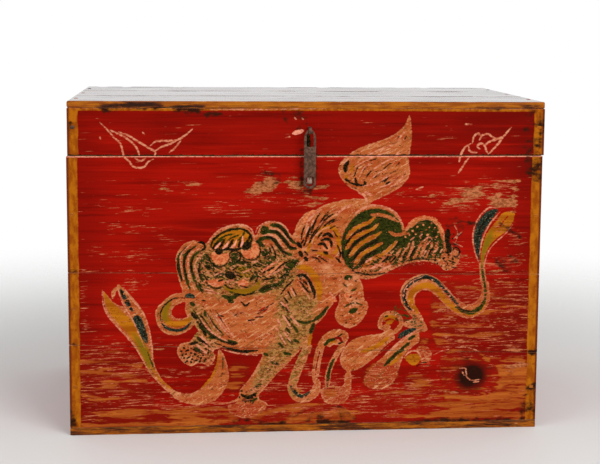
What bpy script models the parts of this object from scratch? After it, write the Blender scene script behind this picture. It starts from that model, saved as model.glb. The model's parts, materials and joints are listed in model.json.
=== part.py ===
"""A painted wooden trunk built board by board: nailed walls, a hinged lid and an iron hasp.

Metres, +Z up, front towards -Y, the middle of the underside at the origin.
"""
import math

import bmesh
import bpy
from mathutils import Matrix, Vector

# Overall size.
WIDTH = 0.620
DEPTH = 0.390
HEIGHT = 0.438
LID_HEIGHT = 0.0705
LID_SHIFT = 0.0015

# Boards.
WALL = 0.014
TOP_BOARD = 0.009
BASE_BOARD = 0.0095
ARRIS = 0.0008
PARTING_GAP = 0.0012
FIT = 0.0003

# Planks of the walls: each height is taken from the foot of the walls, and the last plank fills up.
FRONT_LOW_JOINT_LEFT = 0.1110
FRONT_LOW_JOINT_RIGHT = 0.0925
FRONT_HIGH_JOINT_LEFT = 0.2063
FRONT_HIGH_JOINT_RIGHT = 0.1990
SIDE_JOINT = 0.2290
BACK_JOINT = 0.1860

# Top and bottom boards: the depth of each one from the front, the last one fills up.
TOP_FRONT_BOARD = 0.1325
TOP_MIDDLE_BOARD = 0.1365
BASE_FRONT_BOARD = 0.2340

# Square nails that hold the boards.
NAIL_LENGTH = 0.032
NAIL_SHANK = 0.0026
NAIL_HEAD_LONG = 0.0060
NAIL_HEAD_SHORT = 0.0046
NAIL_HEAD_THICK = 0.0012
NAIL_RECESS = 0.0002

# Hinges.
HINGE_INSET = 0.115
LEAF_WIDTH = 0.036
LEAF_HEIGHT = 0.036
LEAF_THICK = 0.0016
LEAF_CORNER = 0.007
PIN_RADIUS = 0.0018
PIN_CLEAR = 0.0002
PIN_HEAD_OVERHANG = 0.0010
PIN_HEAD_THICK = 0.0012
KNUCKLE_WALL = 0.0016
LEAF_NAIL_LENGTH = 0.0115
LEAF_NAIL_SPACING = 0.020
LEAF_NAIL_REACH = 0.022
LEAF_NAIL_HEAD = 0.0056
LEAF_NAIL_HEAD_THICK = 0.0010

# Hasp: strap, lid staple and body staple.
HASP_X = 0.0015
HASP_STANDOFF = 0.0125
HASP_RISE = 0.0335
STRAP_WIDTH = 0.0155
STRAP_THICK = 0.0025
STRAP_BAR = 0.0040
STRAP_TOP_TAPER = 0.014
STRAP_FOOT = 0.0034
STRAP_FOOT_ROUND = 0.006
UPPER_SLOT_LENGTH = 0.0190
UPPER_SLOT_SIDE_CLEAR = 0.0025
UPPER_SLOT_ROUND = 0.0050
UPPER_SLOT_FOOT_ROUND = 0.0020
LOWER_SLOT_DROP = 0.0650
LOWER_SLOT_CLEAR = 0.00155
LOWER_SLOT_ROUND = 0.0020
LOWER_SLOT_FOOT_ROUND = 0.0030
LID_STAPLE_WIDTH = 0.0040
LID_STAPLE_THICK = 0.0018
LID_STAPLE_CLEAR = 0.00035
BODY_STAPLE_WIDTH = 0.0065
BODY_STAPLE_THICK = 0.0022
BODY_STAPLE_HEIGHT = 0.0100
BODY_STAPLE_BEHIND = 0.0006
STAPLE_BEND = 0.0016
CLENCH = 0.008

ROUND_SIDES = 24
BEND_STEPS = 5

# Levels and faces that follow from the sizes.
LEFT_X = -WIDTH / 2
RIGHT_X = WIDTH / 2
FRONT_Y = -DEPTH / 2
BACK_Y = DEPTH / 2
FRONT_INNER_Y = FRONT_Y + WALL
BACK_INNER_Y = BACK_Y - WALL
PARTING_Z = HEIGHT - LID_HEIGHT
WALL_LOW = BASE_BOARD + FIT
WALL_HIGH = PARTING_Z - PARTING_GAP / 2
RAIL_LOW = PARTING_Z + PARTING_GAP / 2
RAIL_HIGH = HEIGHT - TOP_BOARD - FIT
BORE_RADIUS = PIN_RADIUS + PIN_CLEAR
BARREL_RADIUS = BORE_RADIUS + KNUCKLE_WALL
HINGE_AXIS_Y = BACK_Y + FIT + BARREL_RADIUS
HASP_AXIS_Y = FRONT_Y - HASP_STANDOFF
HASP_AXIS_Z = PARTING_Z + HASP_RISE


def linear(red, green, blue):
    """Turn a colour of 0 to 255 steps into the linear values that a shader takes."""
    shares = [step / 255 for step in (red, green, blue)]
    return [s / 12.92 if s <= 0.04045 else ((s + 0.055) / 1.055) ** 2.4 for s in shares] + [1.0]


def make_material(name, colour, roughness, metallic):
    """Make a plain Principled material."""
    material = bpy.data.materials.new(name)
    material.use_nodes = True
    shader = material.node_tree.nodes["Principled BSDF"]
    shader.inputs["Base Color"].default_value = linear(*colour)
    shader.inputs["Roughness"].default_value = roughness
    shader.inputs["Metallic"].default_value = metallic
    return material


def add_object(name, bm, material, parent=None):
    """Turn a finished bmesh into a named object at its own middle, hung from its joint's empty."""
    bmesh.ops.recalc_face_normals(bm, faces=bm.faces)
    middle = sum((vert.co for vert in bm.verts), Vector()) / len(bm.verts)
    bmesh.ops.translate(bm, vec=-middle, verts=bm.verts)
    mesh = bpy.data.meshes.new(name)
    bm.to_mesh(mesh)
    bm.free()
    piece = bpy.data.objects.new(name, mesh)
    piece.location = middle
    bpy.context.scene.collection.objects.link(piece)
    if material is not None:
        mesh.materials.append(material)
    if material is iron:
        mesh.shade_smooth()
        mesh.set_sharp_from_angle(angle=math.radians(35))
    if parent is not None:
        piece.parent = parent
        piece.matrix_parent_inverse = Matrix.Translation(parent.location).inverted()
    return piece


def loft(rings):
    """Join closed rings of equal length, one after another, and cap both ends."""
    bm = bmesh.new()
    loops = [[bm.verts.new(point) for point in ring] for ring in rings]
    count = len(loops[0])
    for first, second in zip(loops, loops[1:]):
        for i in range(count):
            j = (i + 1) % count
            bm.faces.new((first[i], first[j], second[j], second[i]))
    bm.faces.new(loops[0])
    bm.faces.new(loops[-1])
    return bm


def prism(outline, axis, start, end):
    """Push a flat outline along X, Y or Z; the outline holds the other two coordinates in order."""
    place = {
        "X": lambda a, b, run: (run, a, b),
        "Y": lambda a, b, run: (a, run, b),
        "Z": lambda a, b, run: (a, b, run),
    }[axis]
    return loft([[place(a, b, run) for a, b in outline] for run in (start, end)])


def rectangle(low_a, high_a, low_b, high_b):
    """Give the four corners of an upright rectangle."""
    return [(low_a, low_b), (high_a, low_b), (high_a, high_b), (low_a, high_b)]


def circle(centre_a, centre_b, radius):
    """Give the points of a circle."""
    turns = [2 * math.pi * i / ROUND_SIDES for i in range(ROUND_SIDES)]
    return [(centre_a + radius * math.cos(t), centre_b + radius * math.sin(t)) for t in turns]


def add_board(name, outline, axis, start, end, material, parent=None):
    """Saw one board from its outline and break its arrises."""
    board = add_object(name, prism(outline, axis, start, end), material, parent)
    bevel = board.modifiers.new("arris", "BEVEL")
    bevel.width = ARRIS
    bevel.segments = 1
    bevel.limit_method = "ANGLE"
    return board


def combine(piece, tool, operation):
    """Cut or join one piece with a hidden tool body."""
    tool.hide_render = True
    tool.display_type = "WIRE"
    boolean = piece.modifiers.new(tool.name, "BOOLEAN")
    boolean.operation = operation
    boolean.object = tool


def turned_to(bm, point, drive):
    """Carry a nail made along -Z to a point of a face, driven in the given direction."""
    turn = Vector((0, 0, -1)).rotation_difference(Vector(drive)).to_matrix().to_4x4()
    bm.transform(Matrix.Translation(point) @ turn)
    return bm


def square_rings(levels):
    """Give a rectangular ring for each (half length, half breadth, height)."""
    return [[(-a, -b, z), (a, -b, z), (a, b, z), (-a, b, z)] for a, b, z in levels]


def drive_board_nail(name, point, drive, boards, parent=None):
    """Drive a square nail flush through the boards, with its own clear way in each of them."""
    half = NAIL_SHANK / 2
    long_half = NAIL_HEAD_LONG / 2
    short_half = NAIL_HEAD_SHORT / 2
    seat = -NAIL_RECESS - NAIL_HEAD_THICK
    nail = loft(square_rings([
        (long_half - FIT, short_half - FIT, -NAIL_RECESS),
        (long_half, short_half, -NAIL_RECESS - FIT),
        (long_half, short_half, seat),
        (half, half, seat),
        (half, half, seat - NAIL_LENGTH / 2),
        (half / 3, half / 3, seat - NAIL_LENGTH),
    ]))
    add_object(name, turned_to(nail, point, drive), iron, parent)
    way = loft(square_rings([
        (long_half + FIT, short_half + FIT, WALL / 4),
        (long_half + FIT, short_half + FIT, seat - FIT),
        (half + FIT, half + FIT, seat - FIT),
        (half + FIT, half + FIT, seat - NAIL_LENGTH - FIT),
    ]))
    tool = add_object(name + "_way", turned_to(way, point, drive), None, parent)
    for board in boards:
        combine(board, tool, "DIFFERENCE")


def drive_leaf_nail(name, point, drive, pieces, parent=None):
    """Drive a short nail whose head stands on a hinge leaf."""
    half = NAIL_SHANK / 2
    head = LEAF_NAIL_HEAD / 2
    top = FIT + LEAF_NAIL_HEAD_THICK
    nail = loft(square_rings([
        (head / 2, head / 2, top),
        (head, head, FIT + LEAF_NAIL_HEAD_THICK / 2),
        (head, head, FIT),
        (half, half, FIT),
        (half, half, -LEAF_NAIL_LENGTH / 2),
        (half / 3, half / 3, -LEAF_NAIL_LENGTH),
    ]))
    add_object(name, turned_to(nail, point, drive), iron, parent)
    way = loft(square_rings([
        (half + FIT, half + FIT, LEAF_THICK),
        (half + FIT, half + FIT, -LEAF_NAIL_LENGTH - FIT),
    ]))
    tool = add_object(name + "_way", turned_to(way, point, drive), None, parent)
    for piece in pieces:
        combine(piece, tool, "DIFFERENCE")


for old in list(bpy.data.objects):
    bpy.data.objects.remove(old, do_unlink=True)

red_lacquer = make_material("red_lacquer", (150, 18, 10), 0.38, 0.0)
ochre_edge = make_material("ochre_edge", (176, 112, 22), 0.50, 0.0)
dark_top = make_material("dark_top", (92, 30, 20), 0.30, 0.0)
iron = make_material("iron", (74, 64, 56), 0.55, 0.85)

# The lid turns on the hinge pins, the strap on the lid staple.
lid_axis = bpy.data.objects.new("lid_axis", None)
lid_axis.location = (0, HINGE_AXIS_Y, PARTING_Z)
bpy.context.scene.collection.objects.link(lid_axis)
hasp_axis = bpy.data.objects.new("hasp_axis", None)
hasp_axis.location = (HASP_X, HASP_AXIS_Y, HASP_AXIS_Z)
hasp_axis.parent = lid_axis
hasp_axis.matrix_parent_inverse = Matrix.Translation(lid_axis.location).inverted()
bpy.context.scene.collection.objects.link(hasp_axis)

# Bottom boards lie along the width, under the walls.
base_joint_y = FRONT_Y + BASE_FRONT_BOARD
base_spans = {
    "base_front": (FRONT_Y, base_joint_y - FIT / 2),
    "base_back": (base_joint_y + FIT / 2, BACK_Y),
}
base_boards = {
    name: add_board(name, rectangle(LEFT_X, RIGHT_X, low, high), "Z", 0, BASE_BOARD, ochre_edge)
    for name, (low, high) in base_spans.items()
}

# Front planks run the full width; both joints fall towards the right.
low_left = WALL_LOW + FRONT_LOW_JOINT_LEFT
low_right = WALL_LOW + FRONT_LOW_JOINT_RIGHT
high_left = WALL_LOW + FRONT_HIGH_JOINT_LEFT
high_right = WALL_LOW + FRONT_HIGH_JOINT_RIGHT
gap = FIT / 2
front_levels = {
    "front_lower": (WALL_LOW, WALL_LOW, low_left - gap, low_right - gap),
    "front_middle": (low_left + gap, low_right + gap, high_left - gap, high_right - gap),
    "front_upper": (high_left + gap, high_right + gap, WALL_HIGH, WALL_HIGH),
}
front_planks = {}
for name, (foot_left, foot_right, head_left, head_right) in front_levels.items():
    outline = [
        (LEFT_X, foot_left), (RIGHT_X, foot_right),
        (RIGHT_X, head_right), (LEFT_X, head_left),
    ]
    front_planks[name] = add_board(name, outline, "Y", FRONT_Y, FRONT_INNER_Y, red_lacquer)

# Back planks, also full width.
back_joint = WALL_LOW + BACK_JOINT
back_levels = {
    "back_lower": (WALL_LOW, back_joint - gap),
    "back_upper": (back_joint + gap, WALL_HIGH),
}
back_planks = {
    name: add_board(name, rectangle(LEFT_X, RIGHT_X, *levels), "Y", BACK_INNER_Y, BACK_Y, red_lacquer)
    for name, levels in back_levels.items()
}

# Side planks stand between front and back.
side_joint = WALL_LOW + SIDE_JOINT
side_levels = {"lower": (WALL_LOW, side_joint - gap), "upper": (side_joint + gap, WALL_HIGH)}
side_faces = {"left": (LEFT_X, LEFT_X + WALL), "right": (RIGHT_X - WALL, RIGHT_X)}
side_span = (FRONT_INNER_Y + FIT, BACK_INNER_Y - FIT)
side_planks = {
    (side, level): add_board(f"{side}_{level}", rectangle(*side_span, *heights), "X", *faces, red_lacquer)
    for side, faces in side_faces.items()
    for level, heights in side_levels.items()
}

# Lid frame: front and back rails full width, side rails between them.
lid_left = LEFT_X + LID_SHIFT
lid_right = RIGHT_X + LID_SHIFT
rail_outline = rectangle(lid_left, lid_right, RAIL_LOW, RAIL_HIGH)
lid_front = add_board("lid_front", rail_outline, "Y", FRONT_Y, FRONT_INNER_Y, red_lacquer, lid_axis)
lid_back = add_board("lid_back", rail_outline, "Y", BACK_INNER_Y, BACK_Y, red_lacquer, lid_axis)
lid_side_faces = {"left": (lid_left, lid_left + WALL), "right": (lid_right - WALL, lid_right)}
lid_sides = {
    side: add_board(f"lid_{side}", rectangle(*side_span, RAIL_LOW, RAIL_HIGH), "X", *faces,
                    red_lacquer, lid_axis)
    for side, faces in lid_side_faces.items()
}

# Lid top boards lie along the width, on the rails.
top_edges = [
    FRONT_Y,
    FRONT_Y + TOP_FRONT_BOARD,
    FRONT_Y + TOP_FRONT_BOARD + TOP_MIDDLE_BOARD,
    BACK_Y,
]
top_spans = {
    "top_front": (top_edges[0], top_edges[1] - gap),
    "top_middle": (top_edges[1] + gap, top_edges[2] - gap),
    "top_back": (top_edges[2] + gap, top_edges[3]),
}
top_boards = {
    name: add_board(name, rectangle(lid_left, lid_right, *span), "Z", HEIGHT - TOP_BOARD, HEIGHT,
                    dark_top, lid_axis)
    for name, span in top_spans.items()
}

# Nails at the board ends: the front and back go into the ends of the sides.
end_columns = {"left": LEFT_X + WALL / 2, "right": RIGHT_X - WALL / 2}
for side, column in end_columns.items():
    taper = 0.5 + column / WIDTH
    low_joint = low_left + (low_right - low_left) * taper
    high_joint = high_left + (high_right - high_left) * taper
    nail_levels = {
        "front_lower": (WALL_LOW + low_joint) / 2,
        "front_middle": (low_joint + high_joint) / 2,
        "front_upper": (high_joint + WALL_HIGH) / 2,
        "back_lower": (WALL_LOW + back_joint) / 2,
        "back_upper": (back_joint + WALL_HIGH) / 2,
    }
    for name, level in nail_levels.items():
        at_front = name in front_planks
        plank = front_planks[name] if at_front else back_planks[name]
        face = FRONT_Y if at_front else BACK_Y
        drive = (0, 1, 0) if at_front else (0, -1, 0)
        neighbour = side_planks[(side, "lower" if level < side_joint else "upper")]
        drive_board_nail(f"nail_{name}_{side}", (column, face, level), drive, [plank, neighbour])
    for name, (low, high) in base_spans.items():
        point = (column, (low + high) / 2, 0)
        boards = [base_boards[name], side_planks[(side, "lower")]]
        drive_board_nail(f"nail_{name}_{side}", point, (0, 0, 1), boards)

    lid_column = column + LID_SHIFT
    rail_level = (RAIL_LOW + RAIL_HIGH) / 2 + NAIL_HEAD_LONG
    rail_nails = {
        "lid_front": (lid_front, FRONT_Y, (0, 1, 0)),
        "lid_back": (lid_back, BACK_Y, (0, -1, 0)),
    }
    for name, (rail, face, drive) in rail_nails.items():
        boards = [rail, lid_sides[side]]
        drive_board_nail(f"nail_{name}_{side}", (lid_column, face, rail_level), drive, boards, lid_axis)
    for name, (low, high) in top_spans.items():
        point = (lid_column, (low + high) / 2, HEIGHT)
        boards = [top_boards[name], lid_sides[side]]
        drive_board_nail(f"nail_{name}_{side}", point, (0, 0, -1), boards, lid_axis)

# Hinges: two knuckles on the body leaf, one on the lid leaf, a headed pin through all three.
leaf_inner_y = HINGE_AXIS_Y - BARREL_RADIUS + LEAF_THICK / 10
leaf_outer_y = leaf_inner_y + LEAF_THICK
knuckle = LEAF_WIDTH / 3
knuckle_clear = BARREL_RADIUS + 2 * FIT
half_leaf = LEAF_WIDTH / 2
end_half = half_leaf - LEAF_CORNER


def leaf_outline(centre, up, tongues):
    """Outline a leaf from its tongues at the pin line to its clipped far corners."""
    line = [(-half_leaf, LEAF_HEIGHT - LEAF_CORNER), (-half_leaf, knuckle_clear)]
    for low, high in tongues:
        line += [(low, knuckle_clear), (low, 0), (high, 0), (high, knuckle_clear)]
    line += [
        (half_leaf, knuckle_clear), (half_leaf, LEAF_HEIGHT - LEAF_CORNER),
        (end_half, LEAF_HEIGHT), (-end_half, LEAF_HEIGHT),
    ]
    line = [point for i, point in enumerate(line) if point != line[i - 1]]
    return [(centre + across, PARTING_Z + up * along) for across, along in line]


def add_leaf(name, centre, up, knuckles, parent=None):
    """Forge one hinge leaf: a plate, its rolled knuckles and the bore for the pin."""
    inset = 2 * FIT
    tongues = [(low + inset, high - inset) for low, high in knuckles]
    plate = prism(leaf_outline(centre, up, tongues), "Y", leaf_inner_y, leaf_outer_y)
    leaf = add_object(name, plate, iron, parent)
    for number, (low, high) in enumerate(knuckles):
        barrel = prism(circle(HINGE_AXIS_Y, PARTING_Z, BARREL_RADIUS), "X", centre + low, centre + high)
        combine(leaf, add_object(f"{name}_knuckle_{number}", barrel, None, parent), "UNION")
    bore = prism(circle(HINGE_AXIS_Y, PARTING_Z, BORE_RADIUS), "X", centre - LEAF_WIDTH, centre + LEAF_WIDTH)
    combine(leaf, add_object(f"{name}_bore", bore, None, parent), "DIFFERENCE")
    return leaf


outer_knuckles = [(-half_leaf, -half_leaf + knuckle), (half_leaf - knuckle, half_leaf)]
middle_knuckle = [(-half_leaf + knuckle + FIT, half_leaf - knuckle - FIT)]
hinge_centres = {"left": LEFT_X + HINGE_INSET, "right": RIGHT_X - HINGE_INSET}
for side, centre in hinge_centres.items():
    leaves = {
        "hinge_body": (add_leaf(f"hinge_body_leaf_{side}", centre, -1, outer_knuckles),
                       -1, back_planks["back_upper"], None),
        "hinge_lid": (add_leaf(f"hinge_lid_leaf_{side}", centre, 1, middle_knuckle, lid_axis),
                      1, lid_back, lid_axis),
    }
    for name, (leaf, up, board, parent) in leaves.items():
        for hand, offset in (("a", -LEAF_NAIL_SPACING / 2), ("b", LEAF_NAIL_SPACING / 2)):
            point = (centre + offset, leaf_outer_y, PARTING_Z + up * LEAF_NAIL_REACH)
            drive_leaf_nail(f"nail_{name}_{side}_{hand}", point, (0, -1, 0), [leaf, board], parent)
    pin_end = half_leaf + FIT
    head_radius = PIN_RADIUS + PIN_HEAD_OVERHANG
    pin_levels = [
        (-pin_end - PIN_HEAD_THICK, PIN_RADIUS),
        (-pin_end - PIN_HEAD_THICK / 2, head_radius),
        (-pin_end, head_radius),
        (-pin_end, PIN_RADIUS),
        (pin_end, PIN_RADIUS),
        (pin_end, head_radius),
        (pin_end + PIN_HEAD_THICK / 2, head_radius),
        (pin_end + PIN_HEAD_THICK, PIN_RADIUS),
    ]
    rings = [
        [(centre + run, a, b) for a, b in circle(HINGE_AXIS_Y, PARTING_Z, radius)]
        for run, radius in pin_levels
    ]
    add_object(f"hinge_pin_{side}", loft(rings), iron)


# Staples: a flat band bent to a square loop, its legs clenched on the inner face.
def rounded_path(corners, radius):
    """Round every inner corner of an open path of right-angled bends."""
    points = [corners[0]]
    for before, corner, after in zip(corners, corners[1:], corners[2:]):
        arrive = (Vector(corner) - Vector(before)).normalized()
        leave = (Vector(after) - Vector(corner)).normalized()
        centre = Vector(corner) - radius * arrive + radius * leave
        for step in range(BEND_STEPS + 1):
            turn = math.pi / 2 * step / BEND_STEPS
            points.append(tuple(centre - radius * math.cos(turn) * leave + radius * math.sin(turn) * arrive))
    points.append(corners[-1])
    return points


def band_outline(path, thick):
    """Give a flat path its thickness: one side there, the other side back."""
    points = [Vector(point) for point in path]
    near, far = [], []
    for i, point in enumerate(points):
        before = points[max(i - 1, 0)]
        after = points[min(i + 1, len(points) - 1)]
        run = (after - before).normalized()
        across = Vector((-run.y, run.x)) * thick / 2
        near.append(tuple(point + across))
        far.append(tuple(point - across))
    return near + far[::-1]


def add_staple(name, middle_z, half_height, crown_y, width, thick, board, parent=None):
    """Bend a staple through a board: crown in front, both tips turned over inside."""
    inside = FRONT_INNER_Y + FIT + thick / 2
    high, low = middle_z + half_height, middle_z - half_height
    corners = [
        (inside, high + CLENCH), (inside, high), (crown_y, high),
        (crown_y, low), (inside, low), (inside, low - CLENCH),
    ]
    outline = band_outline(rounded_path(corners, STAPLE_BEND), thick)
    span = (HASP_X - width / 2, HASP_X + width / 2)
    add_object(name, prism(outline, "X", *span), iron, parent)
    for label, level in (("upper", high), ("lower", low)):
        reach = thick / 2 + FIT
        hole = rectangle(FRONT_Y - WALL, FRONT_INNER_Y + WALL, level - reach, level + reach)
        tool = prism(hole, "X", span[0] - FIT, span[1] + FIT)
        combine(board, add_object(f"{name}_{label}_hole", tool, None, parent), "DIFFERENCE")


bar_reach = math.hypot(STRAP_BAR, STRAP_THICK) / 2
lid_staple_half = bar_reach + LID_STAPLE_CLEAR + LID_STAPLE_THICK / 2
add_staple("lid_staple", HASP_AXIS_Z, lid_staple_half, HASP_AXIS_Y - lid_staple_half,
           LID_STAPLE_WIDTH, LID_STAPLE_THICK, lid_front, lid_axis)
body_staple_z = HASP_AXIS_Z - LOWER_SLOT_DROP + FIT
body_crown_y = HASP_AXIS_Y + STRAP_THICK / 2 + BODY_STAPLE_BEHIND + BODY_STAPLE_THICK / 2
add_staple("body_staple", body_staple_z, (BODY_STAPLE_HEIGHT - BODY_STAPLE_THICK) / 2, body_crown_y,
           BODY_STAPLE_WIDTH, BODY_STAPLE_THICK, front_planks["front_upper"])


# Hasp strap: tapered head with the upper slot, straight middle, round foot with the lower slot.
def rounded_slab(half_width, high, low, head_round, foot_round):
    """Outline an upright slab closed by half an ellipse at its head and another at its foot."""
    turns = [math.pi * step / (ROUND_SIDES / 2) for step in range(ROUND_SIDES // 2 + 1)]
    head = [(half_width * math.cos(t), high - head_round + head_round * math.sin(t)) for t in turns]
    foot = [(-half_width * math.cos(t), low + foot_round - foot_round * math.sin(t)) for t in turns]
    return [(HASP_X + across, HASP_AXIS_Z + along) for across, along in head + foot]


upper_high = -STRAP_BAR / 2
upper_low = upper_high - UPPER_SLOT_LENGTH
upper_half = LID_STAPLE_WIDTH / 2 + UPPER_SLOT_SIDE_CLEAR
lower_high = -LOWER_SLOT_DROP + BODY_STAPLE_HEIGHT / 2 + LOWER_SLOT_CLEAR
lower_low = -LOWER_SLOT_DROP - BODY_STAPLE_HEIGHT / 2 - LOWER_SLOT_CLEAR
lower_half = BODY_STAPLE_WIDTH / 2 + LOWER_SLOT_CLEAR
strap_low = lower_low - STRAP_FOOT
strap_outline = rounded_slab(STRAP_WIDTH / 2, STRAP_BAR / 2, strap_low, STRAP_TOP_TAPER, STRAP_FOOT_ROUND)
strap_faces = (HASP_AXIS_Y - STRAP_THICK / 2, HASP_AXIS_Y + STRAP_THICK / 2)
strap = add_object("hasp_strap", prism(strap_outline, "Y", *strap_faces), iron, hasp_axis)
strap_bevel = strap.modifiers.new("arris", "BEVEL")
strap_bevel.width = ARRIS / 2
strap_bevel.segments = 2
strap_bevel.limit_method = "ANGLE"
slots = {
    "upper": (upper_half, upper_high, upper_low, UPPER_SLOT_ROUND, UPPER_SLOT_FOOT_ROUND),
    "lower": (lower_half, lower_high, lower_low, LOWER_SLOT_ROUND, LOWER_SLOT_FOOT_ROUND),
}
for label, sizes in slots.items():
    tool = prism(rounded_slab(*sizes), "Y", HASP_AXIS_Y - WALL, HASP_AXIS_Y + WALL)
    combine(strap, add_object(f"hasp_{label}_slot", tool, None, hasp_axis), "DIFFERENCE")
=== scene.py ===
import json
import math
from itertools import chain

import bmesh
import bpy
import numpy as np
from mathutils import Matrix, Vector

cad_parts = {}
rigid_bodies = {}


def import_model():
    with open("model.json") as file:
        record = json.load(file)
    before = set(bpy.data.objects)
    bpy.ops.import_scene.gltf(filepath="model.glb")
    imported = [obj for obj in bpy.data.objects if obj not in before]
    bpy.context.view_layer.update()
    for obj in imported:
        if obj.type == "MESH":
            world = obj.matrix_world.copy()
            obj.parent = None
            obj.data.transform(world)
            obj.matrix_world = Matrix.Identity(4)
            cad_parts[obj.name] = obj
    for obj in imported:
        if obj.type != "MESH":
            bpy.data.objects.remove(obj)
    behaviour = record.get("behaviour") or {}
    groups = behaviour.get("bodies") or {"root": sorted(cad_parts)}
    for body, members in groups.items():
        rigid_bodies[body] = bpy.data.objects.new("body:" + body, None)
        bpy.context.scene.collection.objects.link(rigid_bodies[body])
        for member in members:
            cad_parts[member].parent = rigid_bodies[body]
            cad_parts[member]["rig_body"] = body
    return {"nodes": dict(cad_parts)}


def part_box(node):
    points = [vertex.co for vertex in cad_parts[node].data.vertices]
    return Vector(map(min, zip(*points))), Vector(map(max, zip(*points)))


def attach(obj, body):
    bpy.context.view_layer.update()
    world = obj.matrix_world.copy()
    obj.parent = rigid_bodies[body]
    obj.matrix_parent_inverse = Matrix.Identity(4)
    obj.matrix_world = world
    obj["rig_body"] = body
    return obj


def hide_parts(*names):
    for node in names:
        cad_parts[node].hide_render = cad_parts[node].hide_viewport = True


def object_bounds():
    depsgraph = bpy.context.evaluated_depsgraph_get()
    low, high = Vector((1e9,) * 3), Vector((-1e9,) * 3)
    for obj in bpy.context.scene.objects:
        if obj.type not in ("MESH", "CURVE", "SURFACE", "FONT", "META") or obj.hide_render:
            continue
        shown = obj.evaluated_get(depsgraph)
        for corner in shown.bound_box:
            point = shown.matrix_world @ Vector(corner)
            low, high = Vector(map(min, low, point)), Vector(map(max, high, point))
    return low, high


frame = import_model()
cad_low, cad_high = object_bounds()

# Bottom boards
# Two sawn softwood boards, nailed up under the walls. Their outer edges carry the ochre border
# paint, rubbed and dirty where the trunk was pushed about, and the underside is bare.
BOARD_CELL = 0.006
ARRIS_ROUND = 0.0009
END_ROUND = 0.0012
ARRIS_STEPS = 3
END_TURNS = np.radians([0.0, 30.0, 60.0])
EDGE_ROW = 0.0012
WAVE_COUNT = 10
WAVE_PITCH = (0.5, 1.7)
WAVE_GAIN = 1.8
FACE_WANDER = 0.00025
FACE_WAVE = (0.20, 0.03)
RUB_WAVE = (0.05, 3.0)
RUB_START = 0.1
FRONT, TOP, BACK, FOOT, ENDS = range(5)
MAP_ENDS = 0.95
MAP_GAP = 0.01
MAP_SEAM = 0.001
MAP_CAP = (0.045, 0.48)
MAP_CAP_STEP = 0.5
TINY = 1e-9
BUMP_STRENGTH = 0.6


def wander(along, across, wave, seed):
    """Smooth chance height of about -1 to 1: the mean of ten sine waves of roughly this length and
    breadth, at chance slopes and phases, times a gain."""
    chance = np.random.default_rng(seed)
    pitch = 2 * np.pi * chance.uniform(*WAVE_PITCH, (WAVE_COUNT, 2)) / wave
    pitch *= chance.choice((-1, 1), (WAVE_COUNT, 2))
    phase = chance.uniform(0, 2 * np.pi, WAVE_COUNT)
    waves = np.sin(along[..., None] * pitch[:, 0] + across[..., None] * pitch[:, 1] + phase)
    return waves.mean(-1) * WAVE_GAIN


def board_round(counts, spans):
    """Outline of a board's section as arrays: the four sides in turn with a quarter circle after each.
    Gives the share across and up, the arc's own direction, how far into an arc each point is and the
    side that it is on."""
    parts = []
    starts = ((0, 0), (0, 1), (1, 1), (1, 0))
    steps = ((0, 1), (1, 0), (0, -1), (-1, 0))
    for side, (start, step) in enumerate(zip(starts, steps)):
        edge = EDGE_ROW / spans[side]
        share = np.concatenate([[0.0], np.linspace(edge, 1 - edge, counts[side] + 1), [1.0]])
        facing = math.pi * (1 - side / 2)
        turn = facing - np.linspace(0, math.pi / 2, ARRIS_STEPS + 1)[1:-1]
        across = np.concatenate([start[0] + step[0] * share, np.full(len(turn), start[0] + step[0])])
        up = np.concatenate([start[1] + step[1] * share, np.full(len(turn), start[1] + step[1])])
        angle = np.concatenate([np.full(len(share), facing), turn])
        on_arc = np.concatenate([[1.0], np.zeros(len(share) - 2), [1.0], np.full(len(turn), 2.0)])
        arc_owner = (FRONT, BACK, BACK, FRONT)[side]
        owner = np.concatenate([np.full(len(share), side), np.full(len(turn), arc_owner)])
        parts.append(np.stack([across, up, np.cos(angle), np.sin(angle), on_arc, owner]))
    return np.concatenate(parts, axis=1)


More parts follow.
